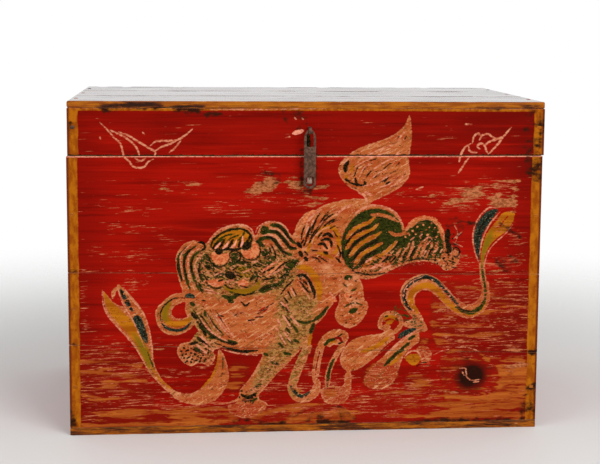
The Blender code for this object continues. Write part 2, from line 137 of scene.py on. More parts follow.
def close_grid(name, points, baked, slots, end_slot, turned=False):
    """Mesh over a grid of points, rows along a piece and columns round it, with both ends closed.
    Faces look outwards for a piece along X, or along Y when turned."""
    rows, columns = points.shape[:2]
    i, j = np.meshgrid(np.arange(rows - 1), np.arange(columns), indexing="ij")
    k = (j + 1) % columns
    corners = [(i, j, j), (i + 1, j, j), (i + 1, k, j + 1), (i, k, j + 1)]
    rings = [np.arange(columns), (rows - 1) * columns + np.arange(columns)[::-1]]
    if turned:
        corners.reverse()
        rings = [ring[::-1] for ring in rings]
    quads = np.stack([row * columns + column for row, column, _ in corners], -1).reshape(-1, 4)
    quad_uv = np.stack([baked[row, place] for row, _, place in corners], -2).reshape(-1, 2)
    flat = points.reshape(-1, 3)
    end_uv = []
    for number, ring in enumerate(rings):
        spread = flat[ring] - flat[ring].min(0)
        widest = np.argsort(spread.max(0))[1:]
        place = spread[:, widest] / max(spread.max(), TINY)
        corner = (MAP_ENDS, MAP_CAP_STEP * number)
        end_uv.append(corner + MAP_CAP * place)
    loops = np.concatenate([quads.ravel(), *rings])
    totals = np.concatenate([np.full(len(quads), 4), np.full(2, columns)])
    mesh = bpy.data.meshes.new(name)
    mesh.vertices.add(len(flat))
    mesh.vertices.foreach_set("co", flat.astype(np.float32).ravel())
    mesh.loops.add(len(loops))
    mesh.loops.foreach_set("vertex_index", loops.astype(np.int32))
    mesh.polygons.add(len(totals))
    mesh.polygons.foreach_set("loop_start", (np.cumsum(totals) - totals).astype(np.int32))
    mesh.polygons.foreach_set("use_smooth", np.append(np.ones(len(quads), bool), [False, False]))
    mesh.polygons.foreach_set("material_index", np.append(slots.ravel(), [end_slot] * 2).astype(np.int32))
    layer = mesh.uv_layers.new(name="OFBake")
    layer.data.foreach_set("uv", np.concatenate([quad_uv, *end_uv]).astype(np.float32).ravel())
    mesh.update(calc_edges=True)
    mesh.validate()
    piece = bpy.data.objects.new(name, mesh)
    bpy.context.scene.collection.objects.link(piece)
    return piece


def end_heights(node):
    """Foot and head of a board at its left and right ends, read from its solid."""
    low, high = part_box(node)
    places = np.array([v.co for v in frame["nodes"][node].data.vertices])
    left = places[places[:, 0] < (low.x + high.x) / 2][:, 2]
    right = places[places[:, 0] > (low.x + high.x) / 2][:, 2]
    return (left.min(), right.min()), (left.max(), right.max())


def make_board(node, finishes, along="x", cell=BOARD_CELL, fine=None, arris=ARRIS_ROUND,
               end_round=END_ROUND, grow=(0.0, 0.0), seed=0):
    """Board standing for a solid: a rounded rectangle carried along it, with ends rounded by a quarter
    circle. The broad faces wander by a fraction of a millimetre and the arrises are worn in.
    finishes gives a material for front, top, back, foot and ends; fine gives the cell of one side;
    grow lowers the foot and lifts the head to meet the next board."""
    low, high = (np.array(corner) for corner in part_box(node))
    run, wide = (0, 1) if along == "x" else (1, 0)
    foot, head = (low[2], low[2]), (high[2], high[2])
    if along == "x":
        foot, head = end_heights(node)
    spans = [high[2] - low[2], high[wide] - low[wide]] * 2
    cells = [cell] * 4
    for side, size in (fine or {}).items():
        cells[side] = size
    counts = [max(1, round(span / size)) for span, size in zip(spans, cells)]
    across, up, out_across, out_up, on_arc, side = board_round(counts, spans)
    step = min(cells)
    tip = end_round * (1 - np.cos(END_TURNS))
    rows = round((high[run] - low[run]) / step)
    middle = np.linspace(low[run] + end_round, high[run] - end_round, rows)
    length = np.concatenate([low[run] + tip, middle, high[run] - tip[::-1]])[:, None]
    shrink = end_round * (1 - np.sin(END_TURNS))
    inset = np.concatenate([shrink, np.zeros(len(middle)), shrink[::-1]])[:, None]
    share = (length - low[run]) / (high[run] - low[run])
    floor, ceiling = (ends[0] + (ends[1] - ends[0]) * share for ends in (foot, head))
    floor, ceiling = floor - grow[0], ceiling + grow[1]
    margin = arris + inset
    reach = np.cumsum(np.hypot(np.gradient(across) * spans[1], np.gradient(up) * spans[0]))[None, :]
    narrow = np.isin(side, (TOP, FOOT) if spans[0] > spans[1] else (FRONT, BACK))
    sway = FACE_WANDER * (wander(length + 0 * reach, reach + 0 * length, FACE_WAVE, seed) - 1) * ~narrow
    rub = np.clip(wander(length + 0 * reach, side + 0 * length, RUB_WAVE, seed + 1) - RUB_START, 0, 1)
    push = (sway - arris * on_arc / 2 * rub) * (inset == 0)
    points = np.zeros((len(length), len(across), 3))
    points[..., run] = length
    points[..., wide] = (low[wide] + margin + (high[wide] - low[wide] - 2 * margin) * across
                         + (arris + push) * out_across)
    points[..., 2] = floor + margin + (ceiling - floor - 2 * margin) * up + (arris + push) * out_up
    girth = np.append(reach, reach[0, -1] + MAP_SEAM) - reach[0, 0]
    baked = np.stack(np.broadcast_arrays(share * (MAP_ENDS - MAP_GAP), girth / girth[-1]), -1)
    materials = list(dict.fromkeys(finishes))
    slot_of = np.array([materials.index(finish) for finish in finishes])
    slots = np.tile(slot_of[side.astype(int)], (len(length) - 1, 1))
    board = close_grid(node + "_board", points, baked, slots, slot_of[ENDS], turned=along == "y")
    for material in materials:
        board.data.materials.append(material)
    return board, points, side.astype(int)


def colour(red, green, blue):
    """Linear colour of a paint given as it looks, 0 to 255."""
    look = np.array([red, green, blue]) / 255
    linear = np.where(look <= 0.04045, look / 12.92, ((look + 0.055) / 1.055) ** 2.4)
    return (*linear, 1.0)


def add(tree, kind, inputs=(), **settings):
    """Add one shader node, with settings by name and inputs by name or number, set or plugged in."""
    made = tree.nodes.new("ShaderNode" + kind)
    for key, value in settings.items():
        setattr(made, key, value)
    for key, value in dict(inputs).items():
        if isinstance(value, bpy.types.NodeSocket):
            tree.links.new(value, made.inputs[key])
        else:
            made.inputs[key].default_value = value
    return made


def cloud(tree, scale, detail=4.0, rough=0.55, lean=0.0):
    """Chance grey pattern from 0 to 1 with so many lumps to the metre along X, Y and Z, leant over
    by an angle as seen from the front."""
    place = add(tree, "TexCoord").outputs["Object"]
    place = add(tree, "VectorRotate", {"Vector": place, "Angle": lean}, rotation_type="Y_AXIS").outputs[0]
    stretched = add(tree, "VectorMath", {0: place, 1: scale}, operation="MULTIPLY").outputs[0]
    settings = {"Vector": stretched, "Scale": 1.0, "Detail": detail, "Roughness": rough}
    return add(tree, "TexNoise", settings).outputs["Fac"]


def between(tree, value, low, high):
    """Soft step from 0 at low to 1 at high."""
    settings = {"Value": value, "From Min": low, "From Max": high}
    return add(tree, "MapRange", settings, interpolation_type="SMOOTHSTEP").outputs["Result"]


def sum_of(tree, first, second, kind="ADD"):
    """Two values added, or joined by another plain sum."""
    return add(tree, "Math", {0: first, 1: second}, operation=kind).outputs[0]


def times(tree, first, second):
    """Two values multiplied."""
    return sum_of(tree, first, second, "MULTIPLY")


def blend_of(tree, share, first, second):
    """Colour going from the first to the second by a share."""
    return add(tree, "Mix", {0: share, 6: first, 7: second}, data_type="RGBA").outputs[2]


def tint(tree, look, value, low, high, paint):
    """Colour going over to a paint where a value steps softly from low to high."""
    return blend_of(tree, between(tree, value, low, high), look, paint)


def new_finish(name):
    """Material with an empty tree but its one shader."""
    material = bpy.data.materials.new(name)
    material.use_nodes = True
    tree = material.node_tree
    shader = next(part for part in tree.nodes if part.type == "BSDF_PRINCIPLED")
    return material, tree, shader


def plug(tree, shader, look, rough, height, depth):
    """Connect colour, roughness and a bump of the given depth in metres."""
    tree.links.new(look, shader.inputs["Base Color"])
    tree.links.new(rough, shader.inputs["Roughness"])
    bump = add(tree, "Bump", {"Strength": BUMP_STRENGTH, "Distance": depth, "Height": height})
    tree.links.new(bump.outputs["Normal"], shader.inputs["Normal"])


def make_bare_wood(name, across):
    """Old bare softwood: pale and dark growth lines along the board, dust and brown stains. Across the
    board's breadth the lines lie so many to the metre."""
    material, tree, shader = new_finish(name)
    lines = cloud(tree, (9, across, 330), detail=5)
    patch = cloud(tree, (14, 14, 30), detail=3)
    fleck = cloud(tree, (90, 10 * across, 1400), detail=3)
    look = tint(tree, colour(122, 84, 52), lines, 0.35, 0.65, colour(166, 124, 82))
    look = tint(tree, look, patch, 0.45, 0.75, colour(84, 56, 36))
    look = tint(tree, look, fleck, 0.62, 0.7, colour(66, 44, 30))
    rough = sum_of(tree, 0.72, times(tree, lines, 0.2))
    shader.inputs["Specular IOR Level"].default_value = 0.2
    plug(tree, shader, look, rough, sum_of(tree, lines, fleck), depth=0.0004)
    return material


def make_ochre(name, dirt):
    """Ochre border paint: yellow-brown, streaked along the edge and chipped to pale wood, and dark with
    dirt in long patches, by an even share and where the board's own wear says so."""
    material, tree, shader = new_finish(name)
    streak = cloud(tree, (22, 22, 900))
    patch = cloud(tree, (40, 40, 160))
    chip = cloud(tree, (70, 70, 620), detail=5, rough=0.65)
    smear = cloud(tree, (28, 28, 280), detail=7, rough=0.72)
    age = add(tree, "Attribute", attribute_name="age")
    stain = add(tree, "SeparateColor", {0: age.outputs["Color"]}).outputs["Green"]
    look = tint(tree, colour(152, 76, 8), patch, 0.35, 0.65, colour(182, 104, 16))
    look = tint(tree, look, streak, 0.52, 0.64, colour(130, 60, 10))
    look = tint(tree, look, chip, 0.64, 0.70, colour(200, 140, 84))
    dirty = sum_of(tree, sum_of(tree, smear, dirt), times(tree, stain, 0.40))
    look = tint(tree, look, dirty, 0.58, 0.72, colour(92, 42, 12))
    look = tint(tree, look, dirty, 0.70, 0.80, colour(44, 20, 8))
    rough = sum_of(tree, 0.42, times(tree, patch, 0.3))
    shader.inputs["Specular IOR Level"].default_value = 0.1
    plug(tree, shader, look, rough, sum_of(tree, streak, chip), depth=0.0003)
    return material


flat_wood = make_bare_wood("flat_wood", across=240)
dirty_ochre = make_ochre("dirty_ochre", dirt=0.15)
base_finishes = (dirty_ochre, flat_wood, dirty_ochre, flat_wood, dirty_ochre)
for number, node in enumerate(("base_front", "base_back")):
    board, _, _ = make_board(node, base_finishes, seed=11 + number)
    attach(board, "body")
    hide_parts(node)

# Front planks
# Three planks the full width of the trunk, both joints falling a little to the right. Red lacquer
# with an ochre border and a folk painting of a lion among ribbons and clouds, brushed on, much worn.
PAINT_CELL = 0.00113
BACK_CELL = 0.012
JOINT_GAP = 0.0003
JOINT_ROUND = 0.0003
NO_PAINT = -6.0
NO_LIMIT = 99.0
CURVE_STEPS = 6
TIP_SHARE = 0.25
BLUNT = (0.1, 0.1)
ROUND = (0.3, 0.3)
DAB_TURN = 2.4
DAB_REACH = (1.2, 0.84)
SOFT_EDGE = 0.4
PAINT_RISE = 0.12
PICTURE_CORNERS = ((65.4, 99.7), (544.2, 102.2), (535.8, 425.2), (68.3, 436.8))
BORDER_WIDTH = 0.0140
BORDER_DROP = 0.0123
BORDER_WAVE = 0.0005
BORDER_WAVE_SIZE = (0.4, 0.05)
BORDER_WAVE_SEED = 5
LEDGE_WAVE = 0.4
WORN_LEDGE = 0.0011
PIXEL = 0.0013
AGE_MIDDLE = 0.5
AGE_SPREAD = 12.0
PAINT_LAYERS = {
    "paint_a": ("pale", "ochre", "green", "blue"),
    "paint_b": ("orange", "ink", "line", "border"),
    "paint_c": ("knot", "dapple", "wash", "bright"),
    "age": ("flake", "stain", "rub", "scuff"),
}
SOFT_LAYERS = ("flake", "stain", "rub", "scuff", "dapple", "wash")


def picture_map(places, pixels):
    """View of a flat front: the eight numbers that send its four corners to their pixels."""
    rows = []
    for (x, z), (p, q) in zip(places, pixels):
        rows.append((x, z, 1, 0, 0, 0, -p * x, -p * z))
        rows.append((0, 0, 0, x, z, 1, -q * x, -q * z))
    return np.append(np.linalg.solve(rows, np.ravel(pixels)), 1).reshape(3, 3)


class Canvas:
    """Points of a board's front in picture pixels, and how deep each lies inside each paint."""

    def __init__(self, across, down):
        self.across = across
        self.down = down
        self.paints = {}

    def paint(self, name):
        """Depth of every point in one paint, below zero outside it."""
        return self.paints.setdefault(name, np.full(self.across.shape, NO_PAINT))

    def lay(self, name, near, depth):
        """Give some points at least this depth of a paint."""
        self.paint(name)[near] = np.maximum(self.paint(name)[near], depth)

    def take(self, name, near, depth):
        """Take some points out of a paint by this depth."""
        self.paint(name)[near] = np.minimum(self.paint(name)[near], -depth)


def smooth_through(points, closed=False):
    """Cubic pieces through the points; the slope at each is half the step between its neighbours."""
    middle = np.asarray(points, float)
    if closed:
        before, after, last = np.roll(middle, 1, 0), np.roll(middle, -1, 0), np.roll(middle, -2, 0)
    else:
        held = np.vstack([2 * middle[0] - middle[1], middle, 2 * middle[-1] - middle[-2]])
        before, middle, after, last = held[:-3], held[1:-2], held[2:-1], held[3:]
    t = np.linspace(0, 1, CURVE_STEPS, endpoint=False)[None, :, None]
    a, b, c, d = (part[:, None, :] for part in (before, middle, after, last))
    curve = b + 0.5 * t * (c - a + t * (2 * a - 5 * b + 4 * c - d + t * (3 * (b - c) + d - a)))
    curve = curve.reshape(-1, 2)
    return curve if closed else np.vstack([curve, held[-2]])


def points_near(canvas, line, reach):
    """Numbers of the canvas points inside the line's box, grown by a reach."""
    low, high = line.min(0) - reach, line.max(0) + reach
    inside = (canvas.across > low[0]) & (canvas.across < high[0])
    return np.nonzero(inside & (canvas.down > low[1]) & (canvas.down < high[1]))[0]


def line_gap(canvas, near, line):
    """Distance from points to a line, and how far along it the nearest place lies, 0 to 1."""
    start, step = line[:-1], np.diff(line, axis=0)
    right = canvas.across[near][:, None] - start[:, 0]
    down = canvas.down[near][:, None] - start[:, 1]
    size = np.maximum((step ** 2).sum(1), TINY)
    t = np.clip((right * step[:, 0] + down * step[:, 1]) / size, 0, 1)
    gap = np.hypot(right - t * step[:, 0], down - t * step[:, 1])
    best = gap.argmin(1)
    rows = np.arange(len(near))
    return gap[rows, best], (best + t[rows, best]) / len(start)


def stroke_depth(canvas, points, width, taper):
    """Depth inside a brush stroke: half its width less the distance to its line. Over a tapered share
    at each end the width shrinks by a square root to that of the tip."""
    line = smooth_through(points)
    near = points_near(canvas, line, width / 2 - NO_PAINT)
    gap, share = line_gap(canvas, near, line)
    full = np.clip(np.minimum(share / taper[0], (1 - share) / taper[1]), 0, 1)
    return near, width / 2 * (TIP_SHARE + (1 - TIP_SHARE) * np.sqrt(full)) - gap


def area_depth(canvas, points):
    """Depth inside a closed smooth outline, below zero outside it: the distance to the outline, inside
    where a line to the right crosses it an odd number of times."""
    ring = smooth_through(points, closed=True)
    near = points_near(canvas, ring, -NO_PAINT)
    gap, _ = line_gap(canvas, near, np.vstack([ring, ring[:1]]))
    x, y = canvas.across[near][:, None], canvas.down[near][:, None]
    x0, y0 = ring.T
    x1, y1 = np.roll(ring, -1, 0).T
    rise = np.where(y1 == y0, TINY, y1 - y0)
    crossed = ((y0 > y) != (y1 > y)) & (x < x0 + (y - y0) * (x1 - x0) / rise)
    return near, np.where(crossed.sum(1) % 2 == 1, gap, -gap)


def fill(canvas, name, most=NO_LIMIT, **areas):
    """Lay paint inside closed outlines, listed under the name of what they show, no deeper than a most."""
    for outline in chain(*areas.values()):
        near, depth = area_depth(canvas, outline)
        canvas.lay(name, near, np.minimum(depth, most))


def brush(canvas, name, width, taper=(0.25, 0.25), **strokes):
    """Lay paint along brush strokes of one width, listed under the name of what they show."""
    for line in chain(*strokes.values()):
        canvas.lay(name, *stroke_depth(canvas, line, width, taper))


def dab(canvas, name, width, **places):
    """Lay short dabs of paint at places, each turned further than the one before."""
    for number, place in enumerate(chain(*places.values())):
        turn = DAB_TURN * number
        half = np.multiply(DAB_REACH, (math.cos(turn), math.sin(turn)))
        brush(canvas, name, width, taper=(0.5, 0.5), dabs=[[place - half, place + half]])


def lift(canvas, name, width, taper=(0.15, 0.5), **strokes):
    """Take paint back along strokes, down to what lies under it."""
    for line in chain(*strokes.values()):
        canvas.take(name, *stroke_depth(canvas, line, width, taper))


def lift_area(canvas, name, **areas):
    """Take paint back inside closed outlines."""
    for outline in chain(*areas.values()):
        canvas.take(name, *area_depth(canvas, outline))


def paint_body(canvas):
    """Pale ground of the lion: head, chest, back, haunch, legs and flame-like tail."""
    fill(canvas, "pale", head=[
        [(183, 244), (176, 257), (177, 272), (181, 286), (185, 296), (205, 303), (262, 303), (296, 296),
         (301, 280), (300, 262), (297, 245), (290, 232), (281, 223), (271, 220), (262, 224), (256, 235),
         (248, 227), (237, 224), (222, 229), (211, 237), (206, 243), (195, 240)]])
    fill(canvas, "pale", chest=[
        [(186, 294), (190, 306), (192, 318), (199, 331), (209, 340), (222, 347), (240, 352), (258, 354),
         (282, 350), (303, 346), (311, 338), (316, 324), (327, 311), (334, 301), (322, 292), (300, 283),
         (240, 292)]])
    fill(canvas, "pale", back=[
        [(290, 241), (299, 227), (311, 213), (326, 204), (345, 199), (358, 198), (367, 199), (371, 204),
         (361, 209), (349, 222), (341, 238), (340, 253), (346, 266), (344, 278), (338, 294), (324, 301),
         (311, 293), (299, 276), (295, 256)]])
    fill(canvas, "pale", haunch=[
        [(340, 241), (346, 224), (358, 211), (372, 205), (386, 206), (397, 213), (403, 222), (406, 229),
         (411, 223), (420, 217), (430, 216), (438, 221), (443, 230), (446, 241), (453, 247), (460, 252),
         (459, 261), (453, 268), (445, 269), (438, 263), (424, 260), (407, 263), (392, 269), (378, 276),
         (364, 278), (351, 272), (343, 262)]])
    fill(canvas, "pale", hind_leg=[
        [(345, 270), (356, 271), (363, 284), (365, 297), (369, 304), (366, 314), (359, 323), (349, 327),
         (338, 321), (336, 312), (340, 300), (340, 284)]])
    fill(canvas, "pale", tail=[
        [(410, 115), (404, 126), (393, 135), (378, 141), (361, 147), (348, 155), (340, 164), (340, 174),
         (348, 185), (359, 191), (366, 197), (368, 205), (374, 200), (388, 194), (402, 185), (410, 174),
         (409, 160), (411, 146), (412, 134)]])
    fill(canvas, "pale", foreleg=[
        [(268, 342), (262, 358), (251, 377), (241, 389), (238, 398), (229, 403), (230, 413), (242, 418),
         (256, 416), (268, 405), (259, 397), (266, 387), (277, 374), (291, 360), (303, 342)]])
    fill(canvas, "pale", raised_paw=[
        [(199, 331), (190, 341), (180, 344), (177, 352), (182, 361), (191, 366), (200, 362), (209, 366),
         (215, 358), (214, 350), (222, 346), (212, 336)]])


def paint_mane(canvas):
    """Mane locks beside the face: green strokes with dark between them and pale lines along them."""
    brush(canvas, "green", 3.2, mane_locks=[
        [(187, 246), (179, 256), (179, 267), (182, 281)],
        [(197, 245), (186, 253), (184, 264), (186, 277), (190, 289)],
        [(203, 249), (194, 255), (191, 265), (194, 277), (199, 290)],
        [(209, 253), (202, 260), (199, 268), (203, 281)]])
    brush(canvas, "ink", 1.9, lock_shades=[
        [(193, 247), (187, 254), (184, 264), (187, 279)], [(193, 257), (191, 266), (194, 276)],
        [(200, 262), (199, 270), (201, 280)], [(177, 262), (178, 270), (182, 280)]])
    brush(canvas, "line", 1.2, lock_lines=[
        [(191, 243), (181, 254), (181, 267), (185, 283)],
        [(201, 247), (190, 254), (188, 265), (190, 278), (195, 291)],
        [(206, 251), (198, 258), (195, 267), (199, 281)]])
    brush(canvas, "ink", 2.5, temple_curl=[[(201, 250), (205, 247), (203, 242), (197, 242)]])


def paint_tuft(canvas):
    """Yellow hair tuft over the brow, rimmed and streaked, with a fringe of bright tips."""
    fill(canvas, "ochre", tuft=[
        [(211, 246), (213, 238), (223, 231), (238, 227), (249, 231), (253, 240), (246, 246), (230, 244),
         (220, 248)]])
    brush(canvas, "line", 1.5, tuft_edge=[
        [(208, 246), (210, 239), (215, 233), (222, 228), (231, 225), (242, 224), (250, 227), (254, 233),
         (255, 240)]])
    tuft_shade = [
        [(211, 248), (213, 240), (221, 233), (231, 229), (241, 228), (248, 231), (252, 237), (251, 243)]]
    brush(canvas, "green", 2.6, taper=BLUNT, tuft_shade=tuft_shade)
    brush(canvas, "ink", 1.5, tuft_shade=tuft_shade)
    brush(canvas, "green", 2.0, tuft_hairs=[
        [(217, 240), (226, 235), (236, 233)], [(213, 246), (218, 241), (226, 238)],
        [(238, 240), (243, 235), (245, 231)], [(226, 243), (232, 237), (240, 234)]])
    brush(canvas, "ink", 3.0, taper=(0.1, 0.3), fringe_shades=[
        [(211, 247), (219, 249), (227, 248), (235, 249), (244, 247)], [(213, 248), (219, 241)],
        [(220, 247), (225, 239)], [(229, 247), (234, 238)], [(239, 247), (241, 239)],
        [(244, 246), (250, 242)], [(246, 243), (250, 237), (251, 233)]])
    brush(canvas, "bright", 2.4, taper=(0.3, 0.8), fringe_tips=[
        [(215, 248), (218, 245), (221, 242)], [(223, 248), (227, 244), (229, 240)],
        [(232, 247), (235, 244), (237, 239)], [(241, 246), (243, 241), (243, 235)]])


def paint_ear(canvas):
    """Curled ear in three green folds, each shaded and outlined, with a green hollow."""
    brush(canvas, "green", 4.2, taper=(0.1, 0.2), ear_folds=[
        [(271, 224), (279, 225), (286, 231), (290, 238), (297, 243)],
        [(268, 231), (276, 231), (284, 238), (290, 246), (297, 248)],
        [(258, 240), (265, 237), (273, 238), (279, 245), (285, 252), (292, 254)]])
    brush(canvas, "ink", 2.1, ear_shades=[
        [(266, 236), (272, 237), (277, 242), (283, 250), (288, 254)],
        [(271, 230), (278, 232), (284, 239), (291, 246), (297, 247)],
        [(275, 224), (283, 228), (288, 235), (294, 240)]])
    brush(canvas, "line", 1.4, ear_lines=[
        [(256, 232), (259, 226), (266, 222), (274, 221), (282, 223), (288, 229), (291, 236)],
        [(270, 228), (279, 229), (286, 236), (293, 244)],
        [(262, 235), (270, 234), (277, 237), (282, 244), (288, 250)]])
    fill(canvas, "green", ear_hollow=[
        [(261, 229), (263, 225), (268, 226), (269, 231), (265, 234), (261, 233)]])


def paint_face(canvas):
    """Eyes, nose, snout and mouth in short dabs, dappled and washed over."""
    fill(canvas, "orange", eyes=[
        [(211, 256), (214, 251), (221, 253), (229, 252), (230, 257), (225, 263), (216, 263)],
        [(241, 249), (246, 250), (252, 247), (254, 240), (259, 246), (259, 254), (252, 258), (245, 257)]])
    fill(canvas, "ink", pupils=[
        [(215, 250), (218, 248), (223, 250), (222, 253), (218, 254)],
        [(243, 243), (249, 240), (252, 245), (248, 249), (243, 248)]])
    brush(canvas, "ink", 1.3, eye_rims=[
        [(210, 252), (210, 259), (214, 264), (220, 266), (226, 264), (230, 257)],
        [(241, 253), (246, 258), (252, 259), (258, 257), (261, 250), (259, 242), (255, 238)]])
    fill(canvas, "green", face_patches=[
        [(262, 252), (265, 248), (270, 250), (270, 256), (265, 258)],
        [(229, 264), (231, 259), (237, 258), (241, 261), (236, 264)],
        [(231, 258), (232, 253), (238, 252), (239, 257), (235, 260)],
        [(284, 269), (288, 262), (298, 258), (299, 263), (293, 268), (287, 273)],
        [(259, 290), (264, 285), (272, 283), (285, 281), (280, 286), (272, 289), (264, 292)]])
    brush(canvas, "green", 4.0, face_dabs=[
        [(256, 240), (261, 243), (265, 246)], [(205, 254), (209, 258), (206, 263)],
        [(204, 265), (213, 268)], [(211, 262), (216, 268)], [(246, 262), (252, 267)],
        [(239, 260), (245, 263)], [(282, 282), (286, 275), (290, 270)], [(251, 279), (258, 272)],
        [(216, 277), (224, 273)], [(199, 283), (203, 292)], [(268, 259), (275, 256)],
        [(222, 295), (231, 297), (240, 294)], [(206, 283), (216, 286)], [(264, 268), (270, 266)],
        [(241, 251), (243, 256)], [(190, 302), (195, 305)], [(228, 299), (234, 302)],
        [(258, 262), (264, 263)], [(266, 263), (274, 262)], [(270, 272), (277, 267)]])
    brush(canvas, "ink", 1.7, face_shades=[
        [(231, 259), (230, 253), (235, 250), (240, 253), (240, 259), (235, 262)],
        [(233, 270), (239, 265)], [(270, 242), (274, 248), (276, 254), (275, 260)],
        [(270, 247), (272, 253)], [(235, 274), (243, 276)], [(210, 286), (216, 288), (223, 286)],
        [(204, 274), (208, 281)], [(262, 279), (270, 278), (276, 276)],
        [(224, 283), (229, 287), (237, 289)], [(232, 293), (245, 294), (258, 292)],
        [(262, 288), (272, 286)], [(206, 266), (213, 268)], [(214, 272), (222, 273)],
        [(253, 264), (262, 266)], [(267, 270), (275, 266)], [(240, 270), (246, 269)],
        [(218, 281), (224, 279)], [(256, 282), (259, 275)], [(240, 285), (249, 287)],
        [(276, 270), (284, 263), (292, 259)], [(250, 280), (254, 276)],
        [(241, 301), (246, 305), (250, 302)], [(202, 300), (206, 300)], [(262, 274), (266, 270)],
        [(280, 278), (286, 273)], [(243, 260), (250, 262)]])
    fill(canvas, "ink", nose=[[(225, 274), (229, 270), (234, 272), (236, 277), (230, 279)]])
    fill(canvas, "ochre", snout=[[(237, 268), (242, 265), (248, 269), (251, 275), (244, 277), (239, 272)]])
    brush(canvas, "ochre", 5.4, lower_lip=[[(224, 285), (232, 290), (246, 291), (256, 287), (261, 279)]])
    brush(canvas, "green", 1.4, lip_line=[[(226, 289), (236, 293), (248, 294), (258, 289)]])
    fill(canvas, "orange", mouth_corners=[
        [(207, 281), (214, 279), (224, 280), (224, 284), (214, 286)],
        [(238, 281), (244, 279), (249, 282), (246, 286), (240, 286)]])
    brush(canvas, "orange", 2.6, cheek_streaks=[
        [(266, 274), (276, 268), (284, 260)], [(262, 272), (270, 266), (277, 261)]])
    brush(canvas, "line", 1.3, face_lines=[
        [(262, 270), (270, 265), (279, 261)], [(268, 275), (278, 271), (286, 264)],
        [(214, 275), (224, 270)], [(226, 281), (236, 279)], [(243, 272), (252, 268)],
        [(203, 288), (215, 291)], [(240, 283), (248, 284)], [(209, 283), (220, 284)],
        [(206, 292), (222, 293)], [(252, 262), (258, 260)]])
    brush(canvas, "blue", 4.6, horn_root=[[(185, 296), (190, 295), (195, 297)]])
    fill(canvas, "dapple", dappled_face=[
        [(200, 252), (230, 248), (262, 244), (296, 256), (298, 270), (284, 290), (262, 284), (240, 284),
         (206, 292), (196, 280)]])
    fill(canvas, "wash", most=2.0, washed_face=[
        [(196, 250), (230, 248), (262, 244), (296, 256), (298, 270), (284, 290), (240, 296), (206, 294),
         (190, 280)]])


def paint_chest(canvas):
    """Chest with its hatched edge, a few scratches and an olive wash."""
    brush(canvas, "green", 2.4, chest_bands=[
        [(193, 309), (201, 321), (211, 332), (222, 340), (236, 345)],
        [(204, 309), (214, 324), (224, 335)], [(197, 320), (204, 329), (213, 336)]])
    brush(canvas, "ink", 1.2, chest_hatching=[
        [(210, 309), (220, 324), (230, 337)], [(216, 310), (227, 327)], [(200, 313), (212, 330)]])
    brush(canvas, "line", 1.9, taper=(0.2, 0.4), edge_lights=[
        [(201, 319), (210, 330), (220, 337), (228, 341)], [(199, 335), (206, 341), (211, 346)],
        [(196, 344), (202, 349), (207, 353)], [(203, 343), (209, 348)]])
    brush(canvas, "line", 1.2, chest_lines=[
        [(216, 314), (224, 326), (234, 336)], [(206, 312), (214, 326), (222, 334)],
        [(212, 312), (222, 327), (229, 335)], [(222, 349), (238, 353), (258, 355)],
        [(222, 318), (230, 330)]])
    brush(canvas, "green", 3.6, chest_dabs=[
        [(199, 325), (204, 331), (206, 336)], [(209, 337), (217, 337)],
        [(197, 337), (204, 343), (209, 346)], [(226, 340), (238, 343)], [(193, 347), (204, 351)],
        [(205, 311), (206, 316)]])
    brush(canvas, "ink", 3.0, chest_shades=[
        [(191, 312), (197, 319)], [(223, 346), (232, 349), (245, 351), (258, 350)],
        [(198, 337), (206, 343)], [(189, 344), (198, 342)], [(228, 342), (237, 344)],
        [(203, 330), (206, 335)]])
    brush(canvas, "ink", 1.5, chest_creases=[
        [(214, 342), (222, 345)], [(200, 322), (205, 327)], [(193, 350), (203, 353)]])
    brush(canvas, "ink", 1.3, edge_hatching=[
        [(192, 311), (198, 318)], [(196, 321), (203, 328)], [(202, 324), (210, 332)],
        [(207, 333), (216, 338)], [(213, 337), (224, 342)], [(221, 341), (234, 345)],
        [(199, 314), (205, 320)]])
    lift(canvas, "pale", 1.4, taper=ROUND, scratches=[
        [(258, 311), (266, 306)], [(262, 313), (270, 306)], [(256, 316), (263, 316)],
        [(250, 319), (254, 324)], [(217, 315), (223, 320)]])
    brush(canvas, "ink", 1.0, chest_hairs=[
        [(257, 314), (265, 308), (274, 302)], [(255, 317), (264, 316)], [(260, 310), (268, 309)],
        [(232, 312), (240, 316)], [(234, 316), (239, 312)], [(218, 315), (224, 316)],
        [(248, 320), (256, 319)]])
    fill(canvas, "wash", most=2.0, washed_chest=[
        [(190, 306), (206, 310), (222, 334), (212, 350), (194, 340)]])


def paint_raised_paw(canvas):
    """Raised paw, spotted with dark dabs."""
    dab(canvas, "ink", 2.8, paw_spots=[
        (181, 351), (184, 348), (188, 350), (186, 354), (191, 353), (184, 358), (189, 357), (192, 359),
        (191, 362), (196, 360), (187, 361), (198, 356), (194, 349), (182, 355), (203, 355), (206, 359),
        (200, 361), (208, 353), (195, 354), (201, 358)])
    dab(canvas, "ink", 1.5, paw_specks=[
        (183, 353), (186, 351), (188, 347), (190, 355), (187, 358), (193, 356), (194, 362), (198, 359),
        (204, 362), (209, 358), (181, 358), (185, 362), (191, 348), (197, 351), (203, 351), (211, 351)])
    fill(canvas, "dapple", dappled_paw=[
        [(194, 338), (206, 338), (214, 346), (212, 360), (196, 362), (188, 352)]])


